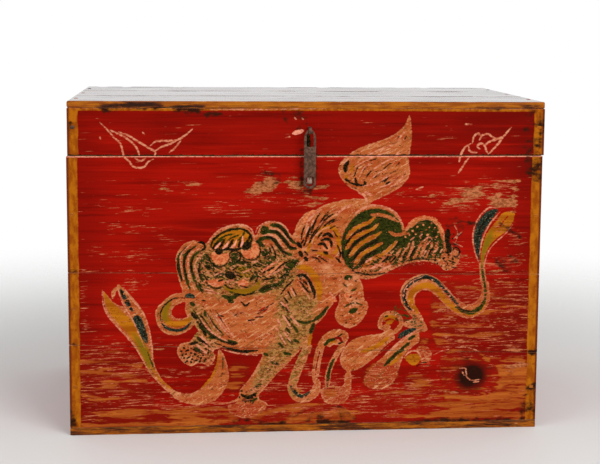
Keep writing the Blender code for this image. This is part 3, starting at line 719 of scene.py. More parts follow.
def paint_shoulder(canvas):
    """Dark shoulder locks with pale and orange touches."""
    brush(canvas, "ink", 1.9, shoulder_locks=[
        [(302, 239), (303, 231), (306, 224)], [(306, 240), (309, 231), (312, 222)],
        [(311, 234), (314, 226), (317, 218), (321, 212)],
        [(316, 231), (320, 224), (325, 216), (331, 212)], [(322, 222), (328, 217), (334, 213)],
        [(323, 227), (330, 221), (336, 218)], [(309, 218), (315, 213)], [(304, 246), (307, 239)],
        [(313, 238), (317, 232)]])
    brush(canvas, "ink", 1.2, shoulder_hairs=[
        [(308, 238), (311, 229), (315, 221)], [(319, 229), (324, 222), (330, 216)],
        [(325, 215), (330, 210)], [(329, 224), (335, 220), (341, 219)], [(309, 244), (313, 236)]])
    brush(canvas, "ink", 2.0, shoulder_shades=[
        [(338, 244), (341, 252), (340, 258)], [(336, 256), (342, 262)], [(314, 236), (318, 230)],
        [(310, 241), (314, 233), (319, 226)], [(301, 244), (305, 238)], [(318, 238), (323, 231)]])
    brush(canvas, "line", 1.5, shoulder_lights=[
        [(306, 228), (309, 219), (315, 212)], [(311, 226), (316, 216)]])
    brush(canvas, "pale", 4.0, shoulder_edge=[[(296, 231), (302, 220), (310, 211)]])
    brush(canvas, "orange", 5.0, orange_touches=[
        [(304, 222), (309, 215), (316, 210)], [(330, 296), (337, 300)], [(346, 292), (351, 300)]])
    brush(canvas, "ink", 4.0, neck_spots=[
        [(298, 241), (302, 247)], [(300, 250), (303, 256)], [(305, 256), (308, 260)]])


def paint_spiral(canvas):
    """Yellow spiral on the shoulder with an orange heart and dark turns."""
    brush(canvas, "ochre", 4.4, spiral=[
        [(311, 246), (313, 238), (321, 230), (331, 226), (338, 233), (339, 246), (334, 253)]])
    fill(canvas, "orange", spiral_heart=[[(322, 246), (325, 241), (332, 239), (333, 246), (328, 250)]])
    brush(canvas, "ochre", 3.0, spiral_ends=[
        [(308, 252), (311, 243), (317, 235)], [(316, 252), (326, 254), (334, 258)]])
    brush(canvas, "ink", 3.4, taper=(0.3, 0.4), spiral_shades=[
        [(323, 235), (329, 233), (334, 237)], [(321, 240), (328, 238), (332, 242), (332, 247)],
        [(318, 244), (324, 243), (328, 248)], [(324, 251), (329, 253)]])
    brush(canvas, "ink", 1.8, spiral_folds=[
        [(334, 230), (338, 236)], [(311, 249), (319, 250)], [(311, 256), (318, 258), (322, 263)],
        [(319, 255), (328, 261)], [(305, 250), (309, 255)], [(330, 228), (336, 225)]])
    brush(canvas, "line", 1.3, spiral_lights=[
        [(312, 244), (315, 236), (323, 229), (332, 225)], [(306, 233), (310, 224)],
        [(318, 226), (324, 220)]])


def paint_breast(canvas):
    """Yellow breast feather with dark, green and blue barbs, and the folds beside it."""
    brush(canvas, "ochre", 7.0, feather=[[(297, 266), (308, 268), (316, 277), (320, 288), (320, 299)]])
    brush(canvas, "ink", 3.0, feather_shade=[[(297, 275), (304, 274), (310, 280), (315, 291), (315, 298)]])
    brush(canvas, "ink", 2.0, feather_barbs=[
        [(300, 280), (306, 287), (311, 294)], [(303, 278), (309, 285)]])
    dab(canvas, "green", 2.8, feather_dabs=[(301, 278), (305, 281), (308, 287), (311, 291), (304, 286)])
    brush(canvas, "blue", 2.2, feather_blues=[
        [(305, 275), (311, 283), (314, 294)], [(299, 276), (303, 275)]])
    brush(canvas, "line", 1.1, feather_lights=[
        [(300, 286), (306, 291), (311, 299)], [(308, 281), (312, 291)]])
    brush(canvas, "ink", 1.8, breast_folds=[
        [(281, 294), (287, 286), (294, 279)], [(288, 289), (292, 298)], [(293, 287), (297, 295)],
        [(284, 296), (289, 303)], [(283, 300), (284, 306)]])


def paint_foreleg(canvas):
    """Foreleg in pale and green strokes, its toes parted by gaps, washed with olive."""
    brush(canvas, "line", 1.9, taper=(0.2, 0.5), leg_lights=[
        [(283, 314), (288, 321), (292, 328)], [(291, 315), (297, 322), (301, 327)],
        [(283, 329), (288, 336), (292, 341)], [(280, 333), (284, 340), (287, 345)],
        [(276, 327), (280, 331)], [(291, 286), (296, 296)], [(278, 318), (282, 326)],
        [(286, 303), (290, 310)]])
    brush(canvas, "green", 2.8, leg_greens=[
        [(286, 316), (291, 322)], [(281, 335), (286, 343)], [(288, 338), (294, 343)],
        [(294, 339), (300, 342)], [(297, 320), (306, 322), (313, 320)], [(281, 300), (284, 308)],
        [(286, 306), (290, 312)], [(294, 325), (299, 332)], [(287, 327), (291, 333)],
        [(279, 342), (284, 347)]])
    brush(canvas, "green", 4.0, elbow_greens=[
        [(315, 322), (311, 333)], [(313, 321), (322, 314), (329, 305)]])
    brush(canvas, "ochre", 3.4, elbow_edge=[[(312, 333), (309, 345)]])
    brush(canvas, "green", 3.0, shin_greens=[
        [(264, 353), (269, 355)], [(284, 352), (292, 354)], [(272, 362), (280, 364)]])
    brush(canvas, "ink", 3.2, toe_shades=[
        [(241, 394), (248, 397), (257, 393)], [(242, 400), (252, 400)], [(244, 396), (254, 398)]])
    brush(canvas, "green", 2.6, toe_greens=[[(254, 388), (262, 384)], [(250, 402), (258, 398)]])
    dab(canvas, "ink", 2.0, toe_spots=[
        (242, 391), (247, 392), (252, 390), (256, 396), (246, 402), (253, 403), (259, 390), (240, 397)])
    lift(canvas, "pale", 2.2, taper=ROUND, toe_gaps=[
        [(228, 405), (237, 402)], [(263, 398), (270, 404)], [(232, 416), (243, 419)],
        [(256, 416), (266, 412)], [(230, 411), (238, 411)]])
    fill(canvas, "wash", most=4.0, washed_leg=[
        [(278, 296), (300, 292), (318, 298), (312, 322), (304, 344), (284, 364), (266, 384), (250, 396),
         (256, 376), (268, 352), (278, 330)]])
    brush(canvas, "dapple", 7.0, dappled_leg=[
        [(282, 304), (292, 316), (288, 336)], [(252, 396), (264, 380), (276, 358)],
        [(300, 300), (308, 312)]])


def paint_haunch(canvas):
    """Green haunch with tan stripes lifted out of it, shaded between them, and pale lights on the back."""
    fill(canvas, "green", haunch_green=[
        [(342, 241), (348, 225), (359, 213), (372, 208), (385, 209), (395, 215), (401, 223), (404, 231),
         (413, 226), (421, 220), (430, 219), (437, 225), (441, 235), (444, 246), (440, 256), (424, 257),
         (408, 260), (392, 264), (375, 271), (357, 271), (345, 261)]])
    stripes = [
        [(347, 238), (353, 230), (361, 225), (370, 221), (376, 216)],
        [(346, 249), (353, 239), (362, 233), (372, 229), (379, 223)],
        [(350, 256), (357, 247), (366, 240), (376, 235), (382, 231)],
        [(355, 265), (362, 254), (372, 248), (383, 242)],
        [(363, 267), (374, 258), (384, 253), (392, 246), (398, 239)]]
    lift(canvas, "green", 4.2, taper=(0.1, 0.4), stripes=stripes)
    lift(canvas, "green", 3.2, taper=(0.2, 0.4), short_stripes=[
        [(376, 266), (386, 257), (394, 250)], [(388, 265), (396, 256), (402, 247)],
        [(399, 262), (405, 252), (410, 242)], [(407, 260), (412, 249), (414, 240)],
        [(414, 258), (420, 247), (423, 240)], [(420, 258), (424, 247), (428, 238)],
        [(426, 258), (431, 248), (433, 241)], [(433, 257), (436, 248), (438, 241)],
        [(371, 214), (382, 214), (394, 218), (399, 221)],
        [(389, 230), (396, 234), (404, 233), (410, 232)]])
    lift(canvas, "green", 6.0, taper=ROUND, belly_light=[
        [(352, 271), (366, 269), (380, 265), (394, 260)]])
    fill(canvas, "dapple", most=2.0, dappled_belly=[
        [(352, 262), (372, 257), (392, 250), (412, 243), (440, 239), (459, 250), (456, 267), (436, 262),
         (408, 264), (384, 272), (360, 276)]])
    brush(canvas, "ochre", 2.4, stripes=stripes)
    brush(canvas, "ink", 2.3, haunch_shades=[
        [(345, 247), (352, 236), (362, 229), (371, 225)],
        [(347, 256), (354, 244), (364, 236), (376, 229)],
        [(353, 260), (360, 251), (370, 244), (380, 238)], [(360, 264), (368, 255), (378, 249)],
        [(382, 262), (390, 255)], [(391, 262), (397, 255)], [(403, 258), (407, 250)],
        [(411, 256), (416, 247)], [(429, 254), (433, 247)], [(343, 250), (344, 258)],
        [(361, 263), (366, 260)]])
    brush(canvas, "ink", 1.6, belly_edge=[
        [(350, 269), (360, 272), (372, 274), (386, 272)], [(404, 261), (420, 258), (436, 259)]])
    brush(canvas, "line", 1.8, haunch_edge=[[(356, 212), (370, 205), (385, 206), (397, 213), (404, 225)]])
    dab(canvas, "green", 2.4, belly_dabs=[
        (372, 270), (383, 268), (365, 272), (394, 264), (404, 258), (440, 255)])
    brush(canvas, "line", 2.2, back_lights=[
        [(330, 291), (336, 299)], [(336, 215), (344, 208), (354, 204)],
        [(309, 221), (314, 214), (322, 209)], [(281, 301), (287, 306)], [(371, 268), (384, 262)],
        [(380, 270), (392, 264)], [(366, 262), (374, 256)]])


def paint_rump(canvas):
    """Rump flecked with orange and pale touches, and the dark curl at its end."""
    brush(canvas, "orange", 2.2, rump_edge=[
        [(406, 228), (413, 220), (424, 216), (436, 219), (443, 230), (446, 240)]])
    brush(canvas, "line", 1.5, rump_lights=[
        [(424, 240), (429, 236), (433, 239)], [(427, 244), (431, 240)], [(420, 236), (423, 233)],
        [(434, 252), (439, 246)], [(424, 254), (427, 249)], [(411, 239), (415, 236)],
        [(440, 252), (443, 248)]])
    dab(canvas, "orange", 1.6, rump_flecks=[
        (418, 226), (427, 229), (433, 231), (413, 230), (422, 231), (437, 236), (430, 226), (424, 224),
        (416, 233), (428, 234), (435, 227), (410, 234), (421, 237), (439, 231), (432, 222), (406, 236)])
    fill(canvas, "ink", rump_end=[
        [(446, 230), (449, 228), (451, 233), (450, 240), (452, 246), (451, 252), (447, 250), (446, 243),
         (445, 236)]])
    dab(canvas, "ink", 2.2, rump_spots=[
        (449, 254), (444, 257), (438, 262), (442, 265), (453, 258), (436, 259), (447, 268), (453, 238),
        (455, 243), (454, 248), (454, 233)])
    brush(canvas, "ink", 1.5, rump_curls=[
        [(452, 250), (456, 246), (460, 250), (457, 256), (453, 254)], [(445, 250), (450, 254)],
        [(443, 258), (448, 262), (446, 266)], [(450, 260), (456, 262)], [(451, 265), (456, 267)]])
    brush(canvas, "line", 0.9, rump_hairs=[
        [(454, 222), (458, 232), (456, 242)], [(463, 230), (454, 238)], [(452, 240), (463, 246)]])


def paint_hind_leg(canvas):
    """Hind leg with green bands, dark specks and pale dabs."""
    brush(canvas, "green", 5.0, leg_patches=[
        [(345, 277), (353, 276)], [(350, 311), (354, 310), (358, 308)]])
    brush(canvas, "green", 1.8, leg_bands=[
        [(345, 306), (354, 302), (363, 304)], [(343, 282), (348, 286)], [(352, 290), (358, 287)]])
    dab(canvas, "ink", 1.5, leg_specks=[
        (345, 292), (351, 296), (357, 298), (343, 315), (352, 318), (360, 313), (347, 322), (342, 276),
        (357, 280), (355, 323), (364, 307)])
    dab(canvas, "line", 1.8, leg_dabs=[
        (347, 288), (353, 284), (349, 298), (356, 302), (345, 304), (351, 306), (358, 311), (346, 318),
        (354, 315), (343, 309), (360, 292), (350, 278)])


def paint_tail(canvas):
    """Tail of flames: dark at its root and rim, with fine dark hairs and pale lines along it."""
    brush(canvas, "ink", 4.4, tail_rim=[[(349, 160), (346, 166), (346, 172)]])
    brush(canvas, "ochre", 3.0, tail_yellows=[[(347, 173), (347, 179)], [(353, 163), (352, 172)]])
    brush(canvas, "ink", 2.6, root_shades=[
        [(350, 182), (358, 184), (366, 185)], [(356, 177), (357, 184)], [(365, 180), (366, 186)],
        [(385, 181), (389, 175)], [(386, 184), (391, 181)], [(345, 178), (351, 181)]])
    brush(canvas, "ink", 1.2, tail_hairs=[
        [(354, 177), (357, 170), (359, 164)], [(366, 178), (370, 172), (375, 168)],
        [(380, 182), (386, 179)], [(393, 181), (399, 176)], [(390, 173), (397, 170)],
        [(362, 172), (368, 164)], [(374, 178), (382, 170)], [(384, 168), (392, 162)],
        [(397, 138), (400, 136)], [(405, 139), (407, 135)], [(396, 166), (400, 162)],
        [(370, 160), (378, 158)], [(352, 186), (357, 188)]])
    brush(canvas, "line", 2.2, root_lights=[[(358, 191), (365, 195), (368, 203)], [(365, 191), (373, 195)]])
    brush(canvas, "line", 1.4, tail_lines=[
        [(362, 158), (378, 150), (394, 144)], [(356, 166), (370, 158), (386, 152)],
        [(372, 170), (386, 161), (402, 152)], [(362, 186), (376, 182), (392, 174)],
        [(398, 140), (406, 130)], [(388, 188), (400, 180), (406, 170)], [(343, 164), (350, 157)]])
    brush(canvas, "line", 1.1, fine_lines=[
        [(360, 176), (364, 168), (372, 162)], [(370, 180), (378, 173), (388, 168)],
        [(376, 188), (390, 183), (400, 174)], [(392, 160), (400, 150)]])


def paint_horn(canvas):
    """Curled horn at the cheek, open in the middle, yellow inside and blue below."""
    fill(canvas, "pale", horn=[
        [(187, 294), (175, 293), (164, 300), (157, 310), (156, 321), (162, 331), (173, 335), (185, 332),
         (194, 324), (192, 312), (190, 302)]])
    brush(canvas, "pale", 5.0, horn_side=[[(163, 303), (158, 311), (157, 320)]])
    lift_area(canvas, "pale", horn_hole=[
        [(172, 309), (177, 304), (185, 302), (185, 310), (187, 317), (178, 318), (172, 315)]])
    brush(canvas, "ochre", 6.6, horn_yellow=[
        [(170, 302), (165, 311), (166, 319), (174, 324), (184, 322), (191, 318)]])
    brush(canvas, "ink", 1.4, horn_edge=[[(184, 297), (174, 298), (165, 304), (160, 313), (161, 322)]])
    brush(canvas, "blue", 3.0, horn_blue=[[(161, 323), (167, 328), (176, 330), (185, 328), (191, 322)]])
    fill(canvas, "wash", horn_wash=[[(164, 300), (171, 299), (169, 312), (168, 322), (160, 318)]])


def paint_left_ribbon(canvas):
    """Ribbon on the left: a long pale curl with a yellow tongue and a blue edge."""
    fill(canvas, "pale", ribbon=[
        [(102, 291), (103, 303), (107, 315), (116, 327), (126, 337), (134, 347), (142, 361), (149, 373),
         (157, 382), (166, 391), (177, 400), (188, 404), (200, 405), (213, 402), (223, 392), (229, 379),
         (228, 367), (224, 355), (219, 348), (218, 358), (215, 368), (209, 380), (200, 389), (188, 394),
         (175, 391), (165, 383), (157, 372), (153, 361), (152, 346), (149, 329), (144, 314), (136, 302),
         (126, 291), (117, 284), (119, 296), (124, 306), (116, 304), (108, 297)]])
    fill(canvas, "ochre", yellow_tongue=[
        [(103, 292), (105, 304), (111, 316), (125, 331), (135, 344), (142, 357), (149, 369), (149, 352),
         (143, 341), (134, 324), (121, 311), (111, 302)]])
    fill(canvas, "blue", blue_edge=[
        [(132, 318), (136, 315), (141, 318), (144, 326), (147, 335), (147, 343), (144, 342), (139, 334),
         (134, 324)]])
    brush(canvas, "blue", 4.6, blue_tip=[[(120, 289), (123, 296), (127, 303), (132, 311)]])
    lift(canvas, "blue", 1.4, taper=(0.2, 0.2), blue_gaps=[
        [(120, 295), (124, 293)], [(123, 301), (128, 298)], [(127, 308), (132, 305)]])
    brush(canvas, "ink", 2.0, ribbon_shades=[
        [(120, 290), (122, 295)], [(125, 299), (129, 305)], [(136, 315), (139, 322)],
        [(143, 330), (145, 338)]])
    fill(canvas, "wash", tongue_wash=[[(132, 334), (142, 340), (150, 354), (151, 374), (142, 360)]])
    brush(canvas, "line", 1.1, ribbon_lines=[
        [(116, 286), (122, 303), (131, 318), (138, 333), (144, 348)],
        [(123, 287), (131, 299), (139, 308), (145, 318), (149, 331), (151, 345), (153, 360)],
        [(101, 290), (102, 303), (107, 316), (124, 335), (135, 348), (148, 371)]])
    brush(canvas, "green", 1.5, ribbon_greens=[
        [(147, 352), (150, 360), (154, 370)], [(223, 356), (223, 369)]])
    brush(canvas, "pale", 4.0, ribbon_fold=[[(112, 298), (113, 291), (117, 287)]])
    brush(canvas, "ochre", 2.2, yellow_edges=[
        [(219, 354), (217, 366), (211, 378), (202, 388)], [(150, 366), (160, 380), (172, 390)]])


def paint_right_ribbon(canvas):
    """Ribbon on the right: a blue and a yellow leaf on a stem that runs into an S-shaped band."""
    fill(canvas, "blue", blue_leaf=[
        [(498, 209), (490, 209), (482, 215), (476, 225), (474, 236), (475, 248), (479, 261), (480, 250),
         (481, 240), (485, 229), (492, 219)]])
    fill(canvas, "ochre", yellow_leaf=[
        [(503, 212), (514, 211), (512, 222), (506, 230), (496, 238), (489, 246), (485, 255), (483, 265),
         (481, 256), (484, 240), (490, 228), (498, 218)]])
    fill(canvas, "wash", leaf_wash=[
        [(479, 268), (480, 252), (484, 238), (492, 228), (493, 240), (488, 250), (484, 268)]])
    brush(canvas, "ink", 1.6, leaf_shade=[[(494, 212), (485, 220), (479, 232), (477, 246)]])
    lift(canvas, "ochre", 1.5, taper=ROUND, leaf_gaps=[
        [(502, 222), (508, 215)], [(497, 227), (502, 223)]])
    brush(canvas, "line", 1.3, taper=(0.2, 0.2), leaf_outlines=[
        [(500, 211), (492, 220), (486, 230), (482, 241), (480, 253)],
        [(498, 207), (489, 207), (481, 214), (475, 225), (473, 237), (475, 250), (480, 264)]])
    brush(canvas, "line", 1.0, leaf_rim=[
        [(513, 223), (506, 232), (497, 240), (490, 248), (486, 257), (484, 268)]])
    brush(canvas, "pale", 5.6, taper=BLUNT, stem=[
        [(482, 260), (483, 274), (485, 285), (486, 294), (485, 302)]])
    brush(canvas, "green", 2.4, stem_green=[[(482, 264), (484, 278), (486, 290), (485, 299)]])
    fill(canvas, "pale", band=[
        [(490, 298), (487, 306), (479, 314), (468, 317), (457, 313), (448, 306), (441, 299), (435, 293),
         (428, 289), (421, 290), (416, 295), (416, 304), (424, 318), (420, 322), (412, 315), (403, 303),
         (401, 291), (406, 281), (416, 275), (427, 273), (437, 277), (446, 285), (454, 294), (462, 301),
         (470, 303), (478, 299), (482, 290), (483, 281), (488, 280), (490, 289)]])
    brush(canvas, "ochre", 5.6, taper=BLUNT, band_yellow=[
        [(419, 312), (412, 302), (412, 293), (418, 287), (427, 284), (435, 287), (442, 294), (450, 303),
         (459, 309), (470, 312), (480, 308), (486, 299)]])
    brush(canvas, "blue", 4.0, taper=(0.1, 0.2), band_blue=[
        [(412, 310), (406, 301), (405, 291), (410, 283), (418, 278), (427, 276), (437, 280), (445, 288),
         (453, 297), (460, 305)]])
    brush(canvas, "green", 4.2, band_green=[[(456, 305), (464, 310), (473, 311), (481, 306), (486, 297)]])
    brush(canvas, "ink", 1.8, band_shades=[
        [(455, 301), (463, 308), (473, 310)], [(410, 309), (407, 301), (405, 293), (409, 285)],
        [(420, 278), (428, 277), (436, 281)], [(446, 290), (454, 299)]])
    brush(canvas, "line", 0.9, band_lines=[
        [(404, 296), (406, 287), (413, 280), (424, 275)], [(440, 281), (448, 289), (457, 298)]])
    dab(canvas, "line", 1.6, band_dots=[
        (408, 288), (407, 297), (414, 281), (433, 279), (442, 287), (450, 295), (405, 301), (409, 305),
        (404, 294), (411, 310), (413, 304), (410, 300), (414, 309)])
    fill(canvas, "green", most=-0.25, green_smear=[
        [(392, 306), (402, 304), (412, 312), (424, 320), (428, 330), (416, 326), (404, 320), (394, 316)]])


def paint_cloud_leaves(canvas):
    """Cloud under the lion, right half: two leaves, a curl, a bud and a small yellow disc."""
    fill(canvas, "pale", leaf=[
        [(341, 357), (345, 348), (352, 340), (361, 336), (371, 334), (381, 333), (388, 330), (394, 333),
         (395, 339), (386, 348), (376, 356), (366, 364), (357, 369), (349, 370), (343, 366)]])
    fill(canvas, "pale", low_leaf=[
        [(418, 330), (408, 336), (397, 345), (386, 354), (375, 364), (367, 374), (365, 381), (370, 387),
         (379, 388), (388, 387), (395, 380), (399, 371), (402, 361), (406, 353), (413, 346), (420, 340)]])
    fill(canvas, "pale", most=0.6, bud=[
        [(404, 323), (412, 318), (420, 317), (426, 322), (428, 329), (420, 331), (412, 328)]])
    brush(canvas, "pale", 4.4, taper=BLUNT, curl=[
        [(385, 328), (381, 325), (382, 318), (387, 313), (394, 312), (400, 316), (402, 322), (398, 329),
         (391, 333)]])
    brush(canvas, "ochre", 3.4, curl_yellow=[[(385, 319), (388, 316), (394, 316), (398, 319)]])
    brush(canvas, "pale", 5.0, curl_heart=[[(384, 325), (391, 326)], [(385, 329), (394, 331)]])
    brush(canvas, "ochre", 3.8, curl_touch=[[(387, 322), (394, 320)]])
    fill(canvas, "pale", most=0.1, small_bud=[
        [(418, 347), (426, 345), (432, 350), (431, 359), (424, 362), (420, 356)]])
    brush(canvas, "green", 3.0, bud_greens=[[(399, 351), (405, 346), (411, 341)], [(409, 339), (416, 334)]])
    lift(canvas, "pale", 1.8, low_leaf_gaps=[
        [(367, 380), (378, 384), (390, 381)], [(371, 374), (382, 378), (392, 374)]])
    brush(canvas, "green", 2.0, curl_greens=[
        [(385, 316), (389, 315)], [(396, 317), (399, 320)], [(404, 312), (410, 317)]])
    brush(canvas, "ochre", 4.4, leaf_rib=[[(362, 351), (372, 348), (381, 343), (390, 336)]])
    brush(canvas, "ochre", 3.0, low_leaf_rib=[[(391, 364), (398, 358), (403, 352)]])
    lift(canvas, "pale", 2.0, taper=(0.4, 0.4), leaf_gap=[[(380, 352), (388, 345), (395, 339)]])
    fill(canvas, "ochre", disc=[[(406, 357), (411, 353), (419, 353), (421, 358), (417, 364), (411, 363)]])
    brush(canvas, "green", 3.6, low_leaf_green=[[(385, 365), (391, 359), (398, 352), (405, 349)]])
    brush(canvas, "blue", 5.0, low_leaf_blue=[[(399, 337), (404, 333), (410, 330), (417, 328)]])
    brush(canvas, "line", 2.0, low_leaf_edge=[[(386, 354), (396, 345), (404, 338), (412, 333), (419, 328)]])
    brush(canvas, "line", 1.4, disc_edge=[[(405, 357), (410, 351), (418, 350), (422, 356)]])


def paint_cloud_loops(canvas):
    """Cloud under the lion, left half: a hook, an arch and a finger in broad strokes."""
    brush(canvas, "pale", 9.0, taper=BLUNT, hook=[
        [(307, 347), (303, 358), (298, 370), (294, 381), (293, 390), (299, 397), (308, 397), (316, 391),
         (319, 380)]])
    brush(canvas, "pale", 9.0, taper=BLUNT, hook_top=[[(309, 343), (306, 353)]])
    brush(canvas, "pale", 5.0, plume=[[(315, 323), (322, 315), (328, 307)]])
    brush(canvas, "pale", 7.6, taper=BLUNT, arch=[
        [(315, 381), (317, 368), (319, 355), (323, 343), (330, 335), (338, 332), (345, 334), (346, 341)]])
    brush(canvas, "pale", 5.4, taper=BLUNT, arch_end=[
        [(346, 341), (339, 351), (333, 362), (329, 374), (328, 387)]])
    brush(canvas, "pale", 5.4, taper=BLUNT, arch_fold=[[(328, 345), (334, 341), (341, 342)]])
    fill(canvas, "pale", finger=[
        [(322, 389), (332, 385), (344, 385), (346, 374), (351, 369), (352, 388), (347, 400), (336, 404),
         (325, 401)]])
    lift(canvas, "pale", 1.6, taper=ROUND, arch_gap=[[(316, 376), (318, 362), (321, 349)]])
    lift_area(canvas, "pale", finger_hole=[[(325, 389), (333, 387), (338, 391), (334, 396), (326, 395)]])
    brush(canvas, "blue", 3.4, hook_blue=[[(291, 385), (296, 392), (303, 396), (311, 391)]])
    lift(canvas, "blue", 1.2, blue_gaps=[
        [(293, 390), (296, 388)], [(298, 395), (300, 391)], [(305, 397), (305, 393)]])
    fill(canvas, "wash", most=3.0, hook_wash=[
        [(302, 344), (310, 346), (304, 362), (298, 378), (298, 392), (290, 394), (290, 376)]])
    brush(canvas, "ochre", 2.6, loop_yellows=[[(296, 388), (303, 391)], [(330, 341), (337, 341)]])
    brush(canvas, "green", 3.4, loop_greens=[
        [(335, 358), (331, 367), (329, 376), (328, 386)], [(325, 345), (330, 340), (337, 338)]])
    brush(canvas, "ink", 1.6, loop_shades=[
        [(338, 336), (344, 333)], [(339, 343), (345, 341)], [(292, 386), (297, 391)]])


def paint_line_clouds(canvas):
    """Line-drawn clouds across the parting of the lid, left and right."""
    brush(canvas, "line", 1.8, taper=(0.3, 0.2), left_cloud=[
        [(99, 121), (105, 127), (113, 136), (120, 143), (122, 150), (124, 156), (129, 161), (132, 165),
         (138, 167), (144, 166), (148, 161), (154, 158)],
        [(109, 129), (118, 133), (127, 138), (135, 145), (138, 151), (139, 155)],
        [(118, 131), (127, 134), (135, 139), (142, 143), (148, 147), (155, 151), (154, 156)],
        [(150, 145), (155, 141), (162, 140), (170, 140), (178, 139), (186, 134), (193, 128)],
        [(155, 150), (162, 146), (170, 143), (178, 139)], [(169, 152), (175, 147), (181, 140)],
        [(134, 157), (140, 160), (146, 157)]])
    brush(canvas, "line", 1.8, taper=(0.3, 0.2), right_cloud=[
        [(511, 127), (504, 135), (498, 143), (489, 153)], [(469, 157), (464, 164), (458, 173)],
        [(504, 136), (495, 138), (488, 134), (482, 135), (479, 140)],
        [(472, 143), (474, 136), (478, 133), (481, 137)], [(501, 138), (490, 141), (484, 146)],
        [(480, 149), (477, 146), (480, 143), (484, 145), (486, 150), (488, 154)],
        [(471, 143), (465, 147), (461, 154), (459, 162)], [(468, 145), (470, 151), (477, 152)]])


def flake_front(canvas):
    """Lacquer flaked off: ragged patches, two sparse areas, islands of lacquer kept, and strips."""
    fill(canvas, "flake", flakes=[
        [(245, 188), (252, 182), (262, 180), (268, 186), (262, 194), (250, 197), (244, 193)],
        [(284, 181), (292, 177), (304, 179), (310, 187), (300, 193), (290, 189)],
        [(260, 179), (276, 177), (283, 186), (268, 191)],
        [(455, 195), (466, 186), (482, 181), (490, 190), (486, 198), (470, 203), (456, 206), (440, 207)],
        [(486, 186), (500, 177), (516, 178), (519, 190), (519, 210), (506, 209), (494, 206), (486, 198)]])
    fill(canvas, "flake", most=-1.9, sparse_right=[
        [(434, 276), (470, 268), (526, 262), (528, 348), (484, 344), (440, 330)]])
    fill(canvas, "flake", most=-2.2, sparse_foot=[
        [(352, 392), (392, 384), (440, 388), (448, 408), (380, 414)]])
    lift_area(canvas, "flake", kept_islands=[
        [(484, 190), (490, 187), (494, 191), (489, 194)],
        [(498, 187), (505, 184), (510, 189), (503, 194)]])
    brush(canvas, "flake", 8, broad_strips=[[(302, 190), (310, 194)], [(497, 366), (527, 364)]])
    brush(canvas, "flake", 5, strips=[
        [(296, 192), (312, 197), (326, 199)], [(306, 204), (318, 202), (327, 201)],
        [(394, 194), (408, 190), (422, 187)], [(424, 204), (440, 199)], [(184, 184), (199, 184)],
        [(160, 188), (172, 186)], [(500, 249), (512, 249)], [(518, 252), (528, 252)],
        [(455, 295), (470, 293)], [(487, 348), (528, 349)], [(486, 272), (504, 271)],
        [(454, 340), (483, 341)], [(508, 258), (526, 260)], [(430, 196), (446, 192)],
        [(262, 176), (276, 178)], [(313, 187), (327, 185)]])
    brush(canvas, "flake", 4, thin_strips=[
        [(461, 257), (474, 256)], [(446, 321), (463, 320)], [(450, 316), (458, 317)],
        [(438, 278), (454, 277)], [(154, 348), (168, 347)], [(150, 385), (162, 384)],
        [(452, 392), (470, 391)], [(221, 397), (235, 396)]])


def rub_front(canvas):
    """Lacquer rubbed through along the foot, on the figures and in loose spots."""
    fill(canvas, "rub", most=3.5, foot_right=[
        [(428, 413), (450, 399), (486, 393), (500, 376), (496, 363), (527, 358), (528, 400), (522, 416),
         (470, 420), (428, 421)]])
    fill(canvas, "rub", most=1.4, foot_left=[
        [(82, 414), (120, 409), (170, 410), (228, 407), (240, 421), (200, 428), (120, 430), (82, 430)]])
    fill(canvas, "rub", most=1.4, foot_middle=[
        [(254, 412), (300, 404), (345, 407), (354, 421), (300, 426), (258, 426)]])
    fill(canvas, "rub", spots=[
        [(406, 382), (414, 377), (424, 377), (432, 382), (422, 387), (413, 388)],
        [(96, 387), (104, 381), (115, 382), (119, 387), (108, 392)]])
    fill(canvas, "rub", most=-0.6, sparse_rubs=[
        [(438, 287), (480, 284), (527, 288), (527, 345), (480, 338), (438, 342)],
        [(80, 358), (130, 356), (142, 374), (150, 408), (96, 410), (80, 390)],
        [(352, 400), (380, 392), (440, 386), (448, 410), (380, 424), (352, 420)]])
    fill(canvas, "rub", most=2.4, patches=[
        [(229, 369), (238, 364), (249, 368), (244, 376), (232, 378)],
        [(224, 384), (234, 380), (243, 384), (234, 391)],
        [(304, 405), (318, 401), (329, 405), (318, 410)],
        [(418, 343), (423, 338), (429, 340), (425, 346)]])
    fill(canvas, "rub", most=2.0, rubbed_figures=[
        [(366, 372), (380, 362), (398, 364), (394, 380), (382, 388), (368, 386)],
        [(324, 390), (344, 387), (350, 392), (344, 402), (328, 402)],
        [(230, 404), (250, 404), (264, 406), (258, 416), (240, 417)],
        [(446, 388), (466, 392), (486, 390), (484, 400), (450, 401)]])
    brush(canvas, "rub", 6, taper=(0.05, 0.05), rubbed_edges=[
        [(80, 430), (180, 428), (300, 425), (420, 421), (526, 418)],
        [(448, 352), (462, 349), (478, 350), (490, 360)]])


